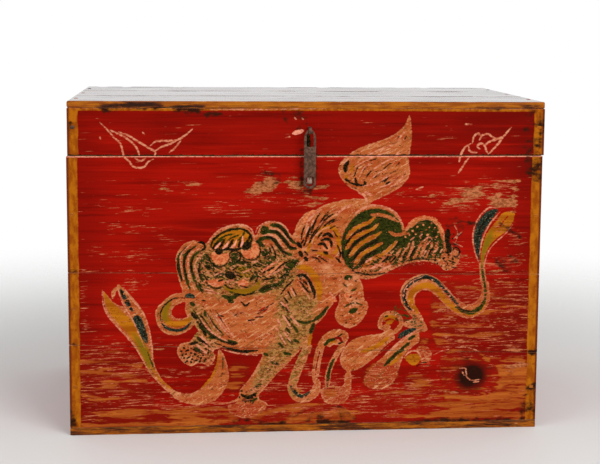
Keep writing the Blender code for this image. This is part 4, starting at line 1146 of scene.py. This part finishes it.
def scuff_front(canvas):
    """Scuffs over the lower half and in strokes along the boards, small pale and dark nicks, and a pale
    chip and painted shade by the body staple."""
    fill(canvas, "scuff", most=4.0, lower_half=[
        [(80, 345), (130, 352), (170, 385), (230, 400), (300, 398), (360, 390), (440, 360), (440, 290),
         (528, 270), (528, 345), (450, 350), (440, 400), (400, 408), (80, 408)]])
    brush(canvas, "scuff", 15, taper=BLUNT, broad_scuffs=[
        [(150, 380), (190, 372), (214, 360)], [(495, 222), (510, 232), (524, 246)],
        [(86, 404), (150, 403)], [(120, 285), (150, 280)], [(445, 264), (520, 262)],
        [(84, 414), (92, 424)], [(450, 190), (514, 186)], [(440, 206), (480, 204)],
        [(240, 390), (300, 386), (352, 394), (432, 400)], [(432, 358), (404, 384), (380, 404)],
        [(268, 372), (300, 366), (330, 380), (362, 372)], [(262, 410), (320, 408), (400, 412)]])
    brush(canvas, "scuff", 9, taper=BLUNT, scuffs=[
        [(82, 280), (84, 340)], [(96, 206), (150, 212)], [(104, 226), (176, 232)],
        [(158, 187), (206, 184)], [(84, 250), (160, 258)], [(240, 196), (320, 202)],
        [(386, 196), (450, 196)], [(200, 206), (250, 210)], [(256, 176), (272, 166)]])
    brush(canvas, "scuff", 4, taper=BLUNT, thin_scuffs=[
        [(78, 272), (110, 271), (158, 273)], [(83, 345), (130, 345), (177, 345)],
        [(403, 274), (460, 275), (520, 274)], [(160, 241), (190, 240)],
        [(437, 361), (451, 358), (463, 352), (472, 350)],
        [(432, 349), (444, 345), (460, 346), (479, 346), (488, 351), (528, 354)]])
    brush(canvas, "ink", 1.4, dark_nicks=[[(417, 365), (423, 362), (429, 361)], [(426, 365), (430, 364)]])
    brush(canvas, "line", 0.8, lid_line=[[(208, 109), (260, 109), (330, 108)]])
    brush(canvas, "line", 1.3, pale_nicks=[
        [(286, 137), (291, 136)], [(99, 135), (100, 139)], [(464, 124), (472, 124)],
        [(416, 189), (424, 186)], [(142, 131), (145, 134)], [(295, 117), (297, 119)],
        [(302, 117), (304, 119)]])
    brush(canvas, "bright", 4.2, staple_shine=[[(293, 133), (304, 130)]])
    # Painted shade: black ink in the hasp's upper slot, for its shadowed inside.
    brush(canvas, "ink", 5.0, taper=BLUNT, staple_shade=[[(308, 134), (309, 147)]])


def stain_front(canvas):
    """Dark stains along the edges, at the corners, behind the hasp and in faint clouds; along the strap's
    sides and foot the dark is partly rust and partly painted shadow of the hasp.
    """
    brush(canvas, "stain", 6, edge_stains=[
        [(258, 424), (291, 424)], [(316, 421), (354, 421)], [(411, 421), (511, 419)],
        [(205, 113), (222, 114)], [(528, 349), (537, 350)]])
    brush(canvas, "stain", 8, lid_stains=[
        [(98, 107), (118, 107)], [(122, 104), (162, 105)], [(172, 108), (206, 109)]])
    brush(canvas, "stain", 4, lid_corner_stains=[[(476, 108), (506, 109)], [(522, 109), (532, 109)]])
    fill(canvas, "stain", most=-0.4, hasp_stains=[
        [(284, 110), (304, 110), (306, 126), (292, 126)],
        [(256, 172), (276, 170), (280, 180), (262, 184)]])
    fill(canvas, "stain", most=1.0, corner_stains=[
        [(66, 412), (71, 414), (74, 422), (75, 431), (66, 432)],
        [(526, 388), (538, 384), (538, 420), (522, 420)],
        [(524, 160), (541, 158), (541, 178), (530, 180)]])
    fill(canvas, "stain", most=0.0, cloudy_stains=[
        [(316, 420), (326, 411), (338, 405), (348, 411), (358, 424), (336, 428)],
        [(226, 425), (244, 419), (262, 421), (294, 426), (250, 429)],
        [(446, 226), (454, 216), (463, 222), (461, 238), (454, 246), (449, 238)],
        [(494, 258), (508, 254), (517, 262), (504, 270)]])
    fill(canvas, "stain", most=-1.2, faint_stain=[
        [(258, 424), (276, 416), (298, 411), (318, 413), (330, 424), (296, 429)]])
    fill(canvas, "stain", most=-0.2, side_stain=[[(526, 112), (543, 112), (542, 158), (526, 154)]])
    # The three strokes down the strap's sides and under its foot are partly rust, partly painted shadow of
    # the hasp.
    brush(canvas, "stain", 4, taper=BLUNT, thin_stains=[
        [(539, 112), (539, 150)], [(526, 140), (538, 146)], [(69, 120), (70, 134)],
        [(303, 146), (302, 168), (303, 187)], [(314, 146), (315, 168), (314, 187)],
        [(304, 190), (313, 190)]])
    brush(canvas, "stain", 3, taper=BLUNT, fine_stains=[
        [(456, 216), (459, 228), (456, 244)], [(500, 222), (520, 236)], [(68, 272), (76, 272)],
        [(69, 345), (76, 345)], [(452, 218), (470, 222), (486, 226)]])


def paint_knot(canvas):
    """Knot in the lowest plank: dark and cracked, stained, rubbed and scuffed round about."""
    fill(canvas, "stain", most=-1.6, knot_stain=[
        [(444, 376), (450, 364), (464, 354), (482, 355), (496, 366), (496, 380), (484, 389), (466, 391),
         (452, 386)]])
    fill(canvas, "rub", most=-0.8, knot_rub=[
        [(448, 352), (494, 352), (502, 372), (490, 396), (452, 398), (444, 376)]])
    brush(canvas, "scuff", 9, taper=BLUNT, knot_scuffs=[
        [(449, 382), (452, 366), (462, 356), (476, 354)], [(490, 362), (496, 374), (488, 390)],
        [(448, 388), (462, 396), (480, 395)], [(488, 372), (498, 375), (503, 372)]])
    fill(canvas, "knot", knot=[
        [(461, 367), (469, 362), (478, 362), (485, 367), (486, 377), (480, 384), (470, 388), (461, 385),
         (457, 376)]])
    brush(canvas, "line", 1.3, cracks=[
        [(460, 367), (466, 367), (467, 372), (468, 376), (473, 379), (481, 378)],
        [(463, 370), (465, 374)], [(474, 381), (480, 380)]])
    brush(canvas, "line", 0.8, joint_lines=[
        [(434, 354), (442, 350), (450, 348)], [(456, 346), (468, 346), (480, 350)],
        [(486, 354), (498, 356)]])


PAINTING = (
    paint_body, paint_mane, paint_tuft, paint_ear, paint_face, paint_chest, paint_raised_paw,
    paint_shoulder, paint_spiral, paint_breast, paint_foreleg, paint_haunch, paint_rump, paint_hind_leg,
    paint_tail, paint_horn, paint_left_ribbon, paint_right_ribbon, paint_cloud_leaves, paint_cloud_loops,
    paint_line_clouds, flake_front, rub_front, scuff_front, stain_front, paint_knot,
)


def keep_layer(board, name, values):
    """Keep four values a point on a board as a colour attribute."""
    layer = board.data.color_attributes.new(name, "FLOAT_COLOR", "POINT")
    layer.data.foreach_set("color", values.astype(np.float32).ravel())


def paint_front(board, points, side, worn_head=0.0, shaded_foot=0.0):
    """Work out the picture on a board's front and keep it as colour attributes on the mesh. Both edges
    are worn bright in a hairline; where the lid closes on the body, the head may be worn further down,
    and the foot may instead be laid dark as painted shade of the gap under the lid."""
    lid_low, lid_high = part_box("top_front")
    base_low, base_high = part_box("base_front")
    upper = ((lid_low.x, lid_high.z), (lid_high.x, lid_high.z))
    lower = ((base_high.x, base_low.z), (base_low.x, base_low.z))
    view = picture_map(upper + lower, PICTURE_CORNERS)
    faced = side == FRONT
    x, z = points[:, faced, 0], points[:, faced, 2]
    seen = np.stack([x, z, np.ones_like(x)], -1) @ view.T
    canvas = Canvas((seen[..., 0] / seen[..., 2]).ravel(), (seen[..., 1] / seen[..., 2]).ravel())
    for paint_part in PAINTING:
        paint_part(canvas)
    wave = BORDER_WAVE * wander(x, z, BORDER_WAVE_SIZE, BORDER_WAVE_SEED)
    edge = np.minimum(x - points[..., 0].min(), points[..., 0].max() - x) - BORDER_WIDTH
    edge = np.minimum(edge, lid_high.z - BORDER_DROP - z)
    canvas.paints["border"] = ((wave - edge) / PIXEL).ravel()
    worn = np.maximum(z - z.max() + worn_head, z.min() - z - shaded_foot)
    canvas.lay("bright", ..., ((worn + LEDGE_WAVE * wave) / PIXEL).ravel())
    # Painted shade: the lid's lowest strip is laid in black ink for the shadowed gap over the body.
    if shaded_foot:
        lip_shade = z.min() + shaded_foot - z
        canvas.lay("ink", ..., ((lip_shade + LEDGE_WAVE * wave) / PIXEL).ravel())
    for attribute, names in PAINT_LAYERS.items():
        values = np.zeros((*points.shape[:2], 4))
        for channel, name in enumerate(names):
            depth = canvas.paint(name).reshape(x.shape)
            if name in SOFT_LAYERS:
                depth = np.clip(AGE_MIDDLE + depth / AGE_SPREAD, 0, 1)
            values[:, faced, channel] = depth
        keep_layer(board, attribute, values)


def paint_cover(tree, depth, most, broken, noise):
    """How much a paint covers: its depth in pixels, held to a most, thrown about by a noise."""
    held = sum_of(tree, depth, most, "MINIMUM")
    terms = {0: noise, 1: broken, 2: -broken / 2}
    thrown = add(tree, "Math", terms, operation="MULTIPLY_ADD").outputs[0]
    return between(tree, sum_of(tree, held, thrown), -SOFT_EDGE, SOFT_EDGE)


def worn_by(tree, noise, wear, share, low, high, weight=1.0):
    """Mask of wear: a weighted noise and a share of the wear drawn on the board, past a soft step from
    low to high."""
    drawn = times(tree, wear, share)
    return between(tree, sum_of(tree, times(tree, noise, weight), drawn), low, high)


def brushed_ground(tree, fields, noises):
    """Pale flesh ground of the figures: brushed in long and leaning streaks, in darker and lighter
    patches, light at the rim, faded to red where it is rubbed and washed with olive in places."""
    fine, speckle, dash, streak = noises
    hatch = cloud(tree, (60, 60, 300), rough=0.6, lean=math.radians(30))
    ground = tint(tree, colour(168, 66, 24), streak, 0.40, 0.60, colour(190, 102, 52))
    rim = between(tree, fields["pale"], 1.9, 0.5)
    rim = times(tree, rim, between(tree, speckle, 0.30, 0.80))
    ground = blend_of(tree, rim, ground, colour(208, 138, 98))
    patch = cloud(tree, (44, 44, 70), detail=3, rough=0.5)
    ground = tint(tree, ground, patch, 0.50, 0.72, colour(180, 92, 42))
    ground = tint(tree, ground, patch, 0.46, 0.26, colour(206, 128, 84))
    faded = worn_by(tree, dash, fields["rub"], 0.34, 0.56, 0.80)
    ground = blend_of(tree, faded, ground, colour(158, 46, 18))
    ground = tint(tree, ground, hatch, 0.56, 0.70, colour(138, 58, 22))
    ground = tint(tree, ground, hatch, 0.44, 0.30, colour(216, 150, 104))
    washed = worn_by(tree, hatch, fields["wash"], 0.42, 0.56, 0.92)
    olive = tint(tree, colour(104, 70, 18), speckle, 0.38, 0.62, colour(172, 122, 62))
    ground = blend_of(tree, washed, ground, olive)
    ground = tint(tree, ground, fine, 0.58, 0.74, colour(216, 148, 104))
    return tint(tree, ground, speckle, 0.39, 0.33, colour(104, 46, 14))


def lay_painting(tree, look, height, fields, noises):
    """Lay the painted layers over the red, back to front, each broken by its own worn edge, with dark
    and pale dabs over the ground of the figures."""
    fine, speckle, _, streak = noises
    dabbing = cloud(tree, (200, 200, 420), rough=0.65, lean=math.radians(-25))
    grain = cloud(tree, (150, 150, 70), rough=0.6)
    olive = tint(tree, colour(22, 24, 3), speckle, 0.34, 0.64, colour(54, 56, 12))
    olive = tint(tree, olive, fine, 0.68, 0.74, colour(140, 104, 50))
    gold = tint(tree, colour(156, 80, 6), streak, 0.40, 0.60, colour(190, 112, 16))
    gold = tint(tree, gold, speckle, 0.40, 0.32, colour(134, 62, 10))
    gold = tint(tree, gold, fields["wash"], 0.28, 0.90, colour(126, 98, 12))
    navy = tint(tree, colour(18, 20, 12), fine, 0.36, 0.62, colour(46, 58, 46))
    navy = tint(tree, navy, fine, 0.62, 0.70, colour(150, 122, 80))
    edge = tint(tree, colour(148, 70, 6), grain, 0.36, 0.64, colour(180, 102, 12))
    edge = tint(tree, edge, speckle, 0.36, 0.30, colour(128, 58, 8))
    edge = tint(tree, edge, fields["border"], 7.6, 9.2, colour(112, 44, 12))
    flesh = tint(tree, colour(190, 84, 42), speckle, 0.40, 0.60, colour(220, 132, 84))
    black = tint(tree, colour(10, 8, 3), fine, 0.45, 0.65, colour(56, 38, 12))
    pink = tint(tree, colour(188, 92, 62), speckle, 0.38, 0.60, colour(216, 140, 106))
    shine = tint(tree, colour(214, 118, 88), speckle, 0.36, 0.56, colour(244, 160, 132))
    # Each paint with its greatest depth and how far its edge is broken, in pixels
    layers = [("pale", 3.0, 2.1, brushed_ground(tree, fields, noises)), ("border", 2.0, 1.2, edge),
              ("ochre", 1.4, 2.8, gold), ("green", 1.2, 4.2, olive), ("blue", 1.2, 2.8, navy),
              ("orange", 1.4, 2.8, flesh), ("ink", 0.9, 3.2, black), ("line", 0.7, 1.6, pink),
              ("bright", 0.7, 0.5, shine)]
    for layer, most, broken, paint in layers:
        cover = paint_cover(tree, fields[layer], most, broken, speckle)
        look = blend_of(tree, cover, look, paint)
        height = sum_of(tree, height, times(tree, cover, PAINT_RISE))
        if layer == "green":
            dabbed = between(tree, fields["dapple"], 0.25, 0.6)
            dark = worn_by(tree, dabbing, fields["dapple"], 0.10, 0.60, 0.66)
            light = between(tree, dabbing, 0.43, 0.38)
            look = blend_of(tree, times(tree, dabbed, dark), look, olive)
            look = blend_of(tree, times(tree, dabbed, light), look, pink)
    return look, height


def make_lacquer(name, painted):
    """Red lacquer brushed along the board: deep and bright streaks, darker towards the border, rubbed
    through to orange near the foot, flaked down to tan wood, scratched, scuffed and stained."""
    material, tree, shader = new_finish(name)
    broad = cloud(tree, (3, 3, 11), detail=3)
    streak = cloud(tree, (5, 5, 130), detail=6, rough=0.66)
    flaking = cloud(tree, (30, 30, 190), detail=7, rough=0.7)
    rubbing = cloud(tree, (16, 16, 130), detail=6, rough=0.62)
    soiling = cloud(tree, (70, 70, 110), detail=5, rough=0.65)
    dash = cloud(tree, (46, 46, 560), rough=0.6)
    scratch = cloud(tree, (28, 28, 760), detail=1.5, rough=0.5, lean=math.radians(2))
    speckle = cloud(tree, (260, 260, 430), detail=3, rough=0.6)
    fine = cloud(tree, (420, 420, 620), detail=2)
    look = tint(tree, colour(130, 9, 1), broad, 0.38, 0.60, colour(164, 15, 3))
    bright = times(tree, between(tree, streak, 0.5, 0.68), 0.7)
    look = blend_of(tree, bright, look, colour(182, 22, 5))
    deep = times(tree, between(tree, streak, 0.5, 0.32), 0.7)
    look = blend_of(tree, deep, look, colour(106, 6, 1))
    height = times(tree, streak, 0.4)
    fields = {}
    for attribute, names in PAINT_LAYERS.items():
        source = add(tree, "Attribute", attribute_name=attribute)
        parts = add(tree, "SeparateColor", {0: source.outputs["Color"]}).outputs
        fields.update(zip(names, [*parts, source.outputs["Alpha"]]))
    if painted:
        shade = times(tree, between(tree, fields["border"], -48.0, 0.0), 0.45)
        look = blend_of(tree, shade, look, colour(84, 6, 2))
    rubbed = worn_by(tree, rubbing, fields["rub"], 0.9, 1.56, 1.74, weight=2.2)
    orange = tint(tree, colour(144, 54, 12), streak, 0.35, 0.65, colour(184, 96, 34))
    orange = tint(tree, orange, dash, 0.55, 0.64, colour(126, 32, 9))
    browned = times(tree, between(tree, fields["rub"], 0.1, 0.6), 0.6)
    look = blend_of(tree, browned, look, colour(116, 20, 6))
    look = blend_of(tree, rubbed, look, orange)
    if painted:
        ringed = sum_of(tree, fields["knot"], times(tree, dash, 6.0))
        look = tint(tree, look, ringed, -1.8, 4.5, colour(92, 14, 5))
        look = tint(tree, look, ringed, 3.5, 7.5, colour(40, 14, 6))
        look, height = lay_painting(tree, look, height, fields, (fine, speckle, dash, streak))
    flaked = worn_by(tree, flaking, fields["flake"], 0.8, 1.74, 1.82, weight=2.4)
    tan = tint(tree, colour(142, 74, 38), speckle, 0.38, 0.60, colour(188, 110, 68))
    look = blend_of(tree, flaked, look, tan)
    scuffed = worn_by(tree, dash, fields["scuff"], 0.13, 0.68, 0.74)
    scratched = worn_by(tree, scratch, fields["scuff"], 0.13, 0.735, 0.79)
    pale = tint(tree, colour(164, 64, 34), speckle, 0.38, 0.60, colour(200, 118, 80))
    scuffs = sum_of(tree, scuffed, scratched, "MAXIMUM")
    if painted:
        scuffs = times(tree, scuffs, between(tree, fields["border"], 0.5, -1.0))
    look = blend_of(tree, scuffs, look, pale)
    stained = worn_by(tree, soiling, fields["stain"], 0.7, 0.78, 1.06)
    look = blend_of(tree, stained, look, colour(48, 20, 8))
    rough = sum_of(tree, 0.36, times(tree, speckle, 0.2))
    rough = sum_of(tree, rough, times(tree, flaked, 0.2))
    height = sum_of(tree, height, times(tree, flaked, -0.5))
    shader.inputs["Specular IOR Level"].default_value = 0.03
    plug(tree, shader, look, rough, height, depth=0.0004)
    return material


bare_wood = make_bare_wood("bare_wood", across=9)
painted_lacquer = make_lacquer("painted_lacquer", painted=True)
plain_lacquer = make_lacquer("plain_lacquer", painted=False)
facing_front = (painted_lacquer, bare_wood, bare_wood, bare_wood, plain_lacquer)
for number, node in enumerate(("front_lower", "front_middle", "front_upper")):
    board, points, side = make_board(node, facing_front, cell=BACK_CELL, fine={FRONT: PAINT_CELL},
                                     arris=JOINT_ROUND, grow=(0.0, JOINT_GAP), seed=21 + number)
    paint_front(board, points, side, worn_head=WORN_LEDGE if node == "front_upper" else 0.0)
    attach(board, "body")
    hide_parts(node)

# Side and back planks
# Plain planks in the same red lacquer, without painting: two to each side, standing between front
# and back, and two at the back. Inside, the wood is bare.
CORNER_REACH = 0.012
FOOT_REACH = 0.030
EVEN_WEAR = {"flake": 0.0, "stain": 0.0, "rub": 0.0, "scuff": 0.12}
CORNER_WEAR = {"flake": 0.25, "stain": 0.25, "rub": 0.25, "scuff": 0.40}
FOOT_WEAR = {"flake": 0.0, "stain": 0.15, "rub": 0.40, "scuff": 0.50}


def age_plain(board, points, along):
    """Wear of a plain board: an even share, and shares that fall away from the trunk's upright corners
    and from its foot, each by e to the power of minus the distance over a reach."""
    run = 0 if along == "x" else 1
    from_corner = np.minimum(points[..., run] - cad_low[run], cad_high[run] - points[..., run])
    corner = np.exp(-from_corner / CORNER_REACH)
    foot = np.exp(-points[..., 2] / FOOT_REACH)
    wear = [EVEN_WEAR[name] + CORNER_WEAR[name] * corner + FOOT_WEAR[name] * foot
            for name in PAINT_LAYERS["age"]]
    keep_layer(board, "age", np.minimum(np.stack(wear, -1), 1.0))


facing_left = (plain_lacquer, bare_wood, bare_wood, bare_wood, bare_wood)
facing_right = (bare_wood, bare_wood, plain_lacquer, bare_wood, bare_wood)
facing_back = (bare_wood, bare_wood, plain_lacquer, bare_wood, plain_lacquer)
plain_planks = {
    "left_lower": ("y", facing_left),
    "left_upper": ("y", facing_left),
    "right_lower": ("y", facing_right),
    "right_upper": ("y", facing_right),
    "back_lower": ("x", facing_back),
    "back_upper": ("x", facing_back),
}
for number, (node, (along, finishes)) in enumerate(plain_planks.items()):
    board, points, _ = make_board(node, finishes, along, seed=31 + number)
    age_plain(board, points, along)
    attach(board, "body")
    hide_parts(node)

# Lid rails
# A frame of four rails, front and back over the ends of the sides, nailed. The front rail carries
# the top of the painting.
# Painted shade: height of the dark strip along the lid front's foot, for the shadowed gap.
SHADED_LIP = 0.0011
LIP_DROP = 0.0002
LIP_ROUND = 0.0004
lid_rails = {
    "lid_front": ("x", facing_front),
    "lid_back": ("x", facing_back),
    "lid_left": ("y", facing_left),
    "lid_right": ("y", facing_right),
}
for number, (node, (along, finishes)) in enumerate(lid_rails.items()):
    fine = {FRONT: PAINT_CELL} if node == "lid_front" else None
    grow = (LIP_DROP, JOINT_GAP) if node == "lid_front" else (0.0, 0.0)
    board, points, side = make_board(node, finishes, along, fine=fine, arris=LIP_ROUND, grow=grow,
                                     seed=41 + number)
    if node == "lid_front":
        paint_front(board, points, side, shaded_foot=SHADED_LIP)
    else:
        age_plain(board, points, along)
    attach(board, "lid")
    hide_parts(node)

# Top boards
# Three boards across the lid, nailed down on the rails. Their edges take the ochre border, and the
# top is dark lacquer polished by hands, with long streaks.
TOP_END_ROUND = 0.0026
TOP_EDGE_CELL = 0.0018


def make_dark_top():
    """Dark brown-red lacquer, worn smooth, streaked along the boards and dulled by dust."""
    material, tree, shader = new_finish("dark_top")
    streak = cloud(tree, (5, 240, 240), detail=5)
    patch = cloud(tree, (7, 20, 20))
    scratch = cloud(tree, (14, 700, 700), detail=3)
    look = tint(tree, colour(58, 20, 14), streak, 0.35, 0.65, colour(96, 34, 22))
    look = tint(tree, look, patch, 0.5, 0.75, colour(40, 18, 14))
    look = tint(tree, look, scratch, 0.68, 0.78, colour(110, 66, 50))
    rough = sum_of(tree, 0.06, times(tree, patch, 0.14))
    plug(tree, shader, look, rough, sum_of(tree, streak, scratch), depth=0.000022)
    return material


dark_top = make_dark_top()
ochre_border = make_ochre("ochre_border", dirt=0.0)
for number, node in enumerate(("top_front", "top_middle", "top_back")):
    front_edge = ochre_border if node == "top_front" else flat_wood
    back_edge = ochre_border if node == "top_back" else flat_wood
    finishes = (front_edge, dark_top, back_edge, flat_wood, ochre_border)
    fine = {FRONT: TOP_EDGE_CELL} if node == "top_front" else None
    board, points, side = make_board(node, finishes, fine=fine, end_round=TOP_END_ROUND, seed=51 + number)
    if node == "top_front":
        paint_front(board, points, side)
    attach(board, "lid")
    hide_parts(node)

# Nails
# Hand-forged nails with flat oblong heads, hammered down until they stand a hair proud of the wood.
# Most in front and on top are daubed with the border's ochre, and the rest are brown with rust.
NAIL_PROUD = 0.0004
NAIL_SIDES = 20
NAIL_SQUARING = 0.6
SHANK_DEPTHS = (1.0, 0.5)
SHANK_SPREADS = (0.10, 0.28)
HEAD_DEPTHS = (0.0014, 0.0013, 0.0008, 0.0003, 0.0001, 0.0)
HEAD_SPREADS = (0.32, 0.90, 1.00, 0.92, 0.70, 0.30)
BARE_NAILS = ("nail_lid_front_left", "nail_base_front_left", "nail_base_front_right")


def make_forged_iron(name, low, high):
    """Forged iron gone brown: two tones in patches, and darker rusted pits."""
    material, tree, shader = new_finish(name)
    patch = cloud(tree, (260, 260, 260))
    pit = cloud(tree, (900, 900, 900), detail=3)
    look = tint(tree, low, patch, 0.38, 0.62, high)
    look = tint(tree, look, pit, 0.55, 0.7, colour(50, 28, 16))
    shader.inputs["Metallic"].default_value = 0.15
    shader.inputs["Specular IOR Level"].default_value = 0.25
    rough = sum_of(tree, 0.42, times(tree, patch, 0.25))
    plug(tree, shader, look, rough, sum_of(tree, patch, pit), depth=0.0004)
    return material


def make_nail(node, proud):
    """Nail standing for a solid: rings of a squared circle, from the point up the shank, out under the
    head, round its rim and over its low dome. The longest way of its box is the way it is driven. The
    shank's depths are shares of its length, and the spreads are shares of the head's half width."""
    low, high = (np.array(corner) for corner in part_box(node))
    drive = int(np.argmax(high - low))
    others = [axis for axis in range(3) if axis != drive]
    middle = (cad_low[drive] + cad_high[drive]) / 2
    outward = 1.0 if low[drive] + high[drive] > 2 * middle else -1.0
    top = (high if outward > 0 else low)[drive] + outward * proud
    length = high[drive] - low[drive]
    half = (high - low)[others] / 2
    depth = np.concatenate([np.multiply(SHANK_DEPTHS, length), HEAD_DEPTHS])
    spread = np.array(SHANK_SPREADS + HEAD_SPREADS)
    turn = np.linspace(0, 2 * np.pi, NAIL_SIDES, endpoint=False)
    square = np.stack([np.cos(turn), np.sin(turn)])
    square = np.sign(square) * np.abs(square) ** NAIL_SQUARING
    points = np.zeros((len(depth), NAIL_SIDES, 3))
    points[..., drive] = (top - outward * depth)[:, None]
    for number, axis in enumerate(others):
        points[..., axis] = (low[axis] + high[axis]) / 2 + spread[:, None] * half[number] * square[number]
    rows = np.linspace(0, MAP_ENDS - MAP_GAP, len(depth))[:, None]
    baked = np.stack(np.broadcast_arrays(rows, np.linspace(0, 1, NAIL_SIDES + 1)[None, :]), -1)
    turned = (outward < 0) != (drive == 1)
    return close_grid(node + "_forged", points, baked, np.zeros(points.shape[:2])[1:], 0, turned)


forged_iron = make_forged_iron("forged_iron", colour(66, 40, 27), colour(104, 70, 52))
for node in [name for name in frame["nodes"] if name.startswith("nail_")]:
    nail = make_nail(node, 0.0 if "hinge" in node else NAIL_PROUD)
    bare = "hinge" in node or "back" in node or node in BARE_NAILS
    nail.data.materials.append(forged_iron if bare else ochre_border)
    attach(nail, frame["nodes"][node]["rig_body"])
    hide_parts(node)

# Hinges, staples and hasp
# Wrought iron: leaves rolled round a pin at the back, and at the front a slotted strap that hangs
# from a staple in the lid and drops over one in the body. All edges are hammered round.
EDGE_ROUND = 0.00045
EDGE_STEPS = 3
SHARP_TURN = math.radians(35)
FLAT_TURN = math.radians(2)
JOIN_REACH = 1e-6


def soften(node):
    """Copy of a solid with its loose triangles joined, its flat faces made whole and its edges rounded."""
    body = bmesh.new()
    body.from_mesh(frame["nodes"][node].data)
    bmesh.ops.remove_doubles(body, verts=body.verts, dist=JOIN_REACH)
    bmesh.ops.dissolve_limit(body, angle_limit=FLAT_TURN, verts=body.verts, edges=body.edges)
    mesh = bpy.data.meshes.new(node + "_forged")
    body.to_mesh(mesh)
    body.free()
    mesh.materials.clear()
    mesh.shade_smooth()
    piece = bpy.data.objects.new(node + "_forged", mesh)
    bpy.context.scene.collection.objects.link(piece)
    bevel = piece.modifiers.new("hammered_edge", "BEVEL")
    bevel.width = EDGE_ROUND
    bevel.segments = EDGE_STEPS
    bevel.limit_method = "ANGLE"
    bevel.angle_limit = SHARP_TURN
    bevel.harden_normals = True
    return piece


rubbed_iron = make_forged_iron("rubbed_iron", colour(120, 92, 76), colour(168, 142, 124))
ironwork = ["body_staple", "lid_staple", "hasp_strap"]
ironwork += [name for name in frame["nodes"] if name.startswith("hinge_")]
for node in ironwork:
    iron_piece = soften(node)
    iron_piece.data.materials.append(rubbed_iron if node == "body_staple" else forged_iron)
    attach(iron_piece, frame["nodes"][node]["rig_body"])
    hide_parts(node)

# Floor and light
# A plain pale floor that fades into a white surround, with one large soft lamp to the right of the
# camera, a weaker one to the left, and even light from all round.
FLOOR_HALF = 6.0
FLOOR_FADE = (0.45, 1.5)
SURROUND = 0.55
LAMP_SIZE = 1.4
LAMP_AIM = (0, 0, 0.2)
KEY_PLACE = (1.1, -2.2, 1.7)
KEY_POWER = 34
FILL_PLACE = (-1.8, -1.6, 1.2)
FILL_POWER = 12


def make_floor():
    """Flat pale square under the trunk, see-through towards its rim."""
    corners = FLOOR_HALF * np.array([(-1, -1, 0), (1, -1, 0), (1, 1, 0), (-1, 1, 0)])
    mesh = bpy.data.meshes.new("floor")
    mesh.from_pydata(corners, [], [(0, 1, 2, 3)])
    floor = bpy.data.objects.new("floor", mesh)
    bpy.context.scene.collection.objects.link(floor)
    material, tree, shader = new_finish("pale_floor")
    shader.inputs["Base Color"].default_value = colour(238, 238, 236)
    shader.inputs["Roughness"].default_value = 0.8
    place = add(tree, "TexCoord").outputs["Object"]
    away = add(tree, "VectorMath", {0: place}, operation="LENGTH").outputs["Value"]
    clear = add(tree, "BsdfTransparent").outputs[0]
    fade = between(tree, away, *FLOOR_FADE)
    mixed = add(tree, "MixShader", {0: fade, 1: shader.outputs[0], 2: clear}).outputs[0]
    output = next(part for part in tree.nodes if part.type == "OUTPUT_MATERIAL")
    tree.links.new(mixed, output.inputs["Surface"])
    mesh.materials.append(material)


def light_surround():
    """White all round to the eye and in reflections, and a plain even light otherwise."""
    world = bpy.data.worlds.new("surround")
    bpy.context.scene.world = world
    world.use_nodes = True
    tree = world.node_tree
    path = add(tree, "LightPath").outputs
    seen = sum_of(tree, path["Is Camera Ray"], path["Is Glossy Ray"], "MAXIMUM")
    seen = sum_of(tree, seen, path["Is Transmission Ray"], "MAXIMUM")
    settings = {"Value": seen, "To Min": SURROUND, "To Max": 1.0}
    strength = add(tree, "MapRange", settings).outputs["Result"]
    back = next(part for part in tree.nodes if part.type == "BACKGROUND")
    back.inputs["Color"].default_value = (1, 1, 1, 1)
    tree.links.new(strength, back.inputs["Strength"])


def hang_lamp(name, place, power):
    """Square soft lamp looking from its place to the aim: tilted up from straight down, then panned."""
    lamp = bpy.data.lights.new(name, "AREA")
    lamp.size = LAMP_SIZE
    lamp.energy = power
    holder = bpy.data.objects.new(name, lamp)
    bpy.context.scene.collection.objects.link(holder)
    toward = np.subtract(LAMP_AIM, place)
    pan = math.atan2(-toward[0], toward[1])
    tilt = math.pi / 2 + math.atan2(toward[2], math.hypot(toward[0], toward[1]))
    holder.matrix_world = (Matrix.Translation(place) @ Matrix.Rotation(pan, 4, "Z")
                           @ Matrix.Rotation(tilt, 4, "X"))


make_floor()
light_surround()
hang_lamp("key_lamp", KEY_PLACE, KEY_POWER)
hang_lamp("fill_lamp", FILL_PLACE, FILL_POWER)

# Camera
# Where the photograph was taken from: a little left of the middle, about two metres off and just
# above the lid, with the picture shifted slightly in its frame.
CAMERA_PLACE = (-0.154, -2.027, 0.541)
CAMERA_TURN = math.radians(5.31)
CAMERA_DROP = math.radians(7.61)
CAMERA_ROLL = math.radians(0.45)
SENSOR_WIDTH = 36.0
FOCAL_PIXELS = 1424.0
PICTURE_WIDTH = 600
PICTURE_SHIFT = (20.1, -20.9)

lens = bpy.data.cameras.new("camera")
lens.sensor_width = SENSOR_WIDTH
lens.lens = FOCAL_PIXELS * SENSOR_WIDTH / PICTURE_WIDTH
lens.shift_x = -PICTURE_SHIFT[0] / PICTURE_WIDTH
lens.shift_y = PICTURE_SHIFT[1] / PICTURE_WIDTH
camera = bpy.data.objects.new("camera", lens)
bpy.context.scene.collection.objects.link(camera)
turned = Matrix.Rotation(-CAMERA_TURN, 4, "Z") @ Matrix.Rotation(math.pi / 2 - CAMERA_DROP, 4, "X")
camera.matrix_world = Matrix.Translation(CAMERA_PLACE) @ turned @ Matrix.Rotation(CAMERA_ROLL, 4, "Z")
bpy.context.scene.camera = camera
bpy.context.scene.view_settings.view_transform = "Standard"
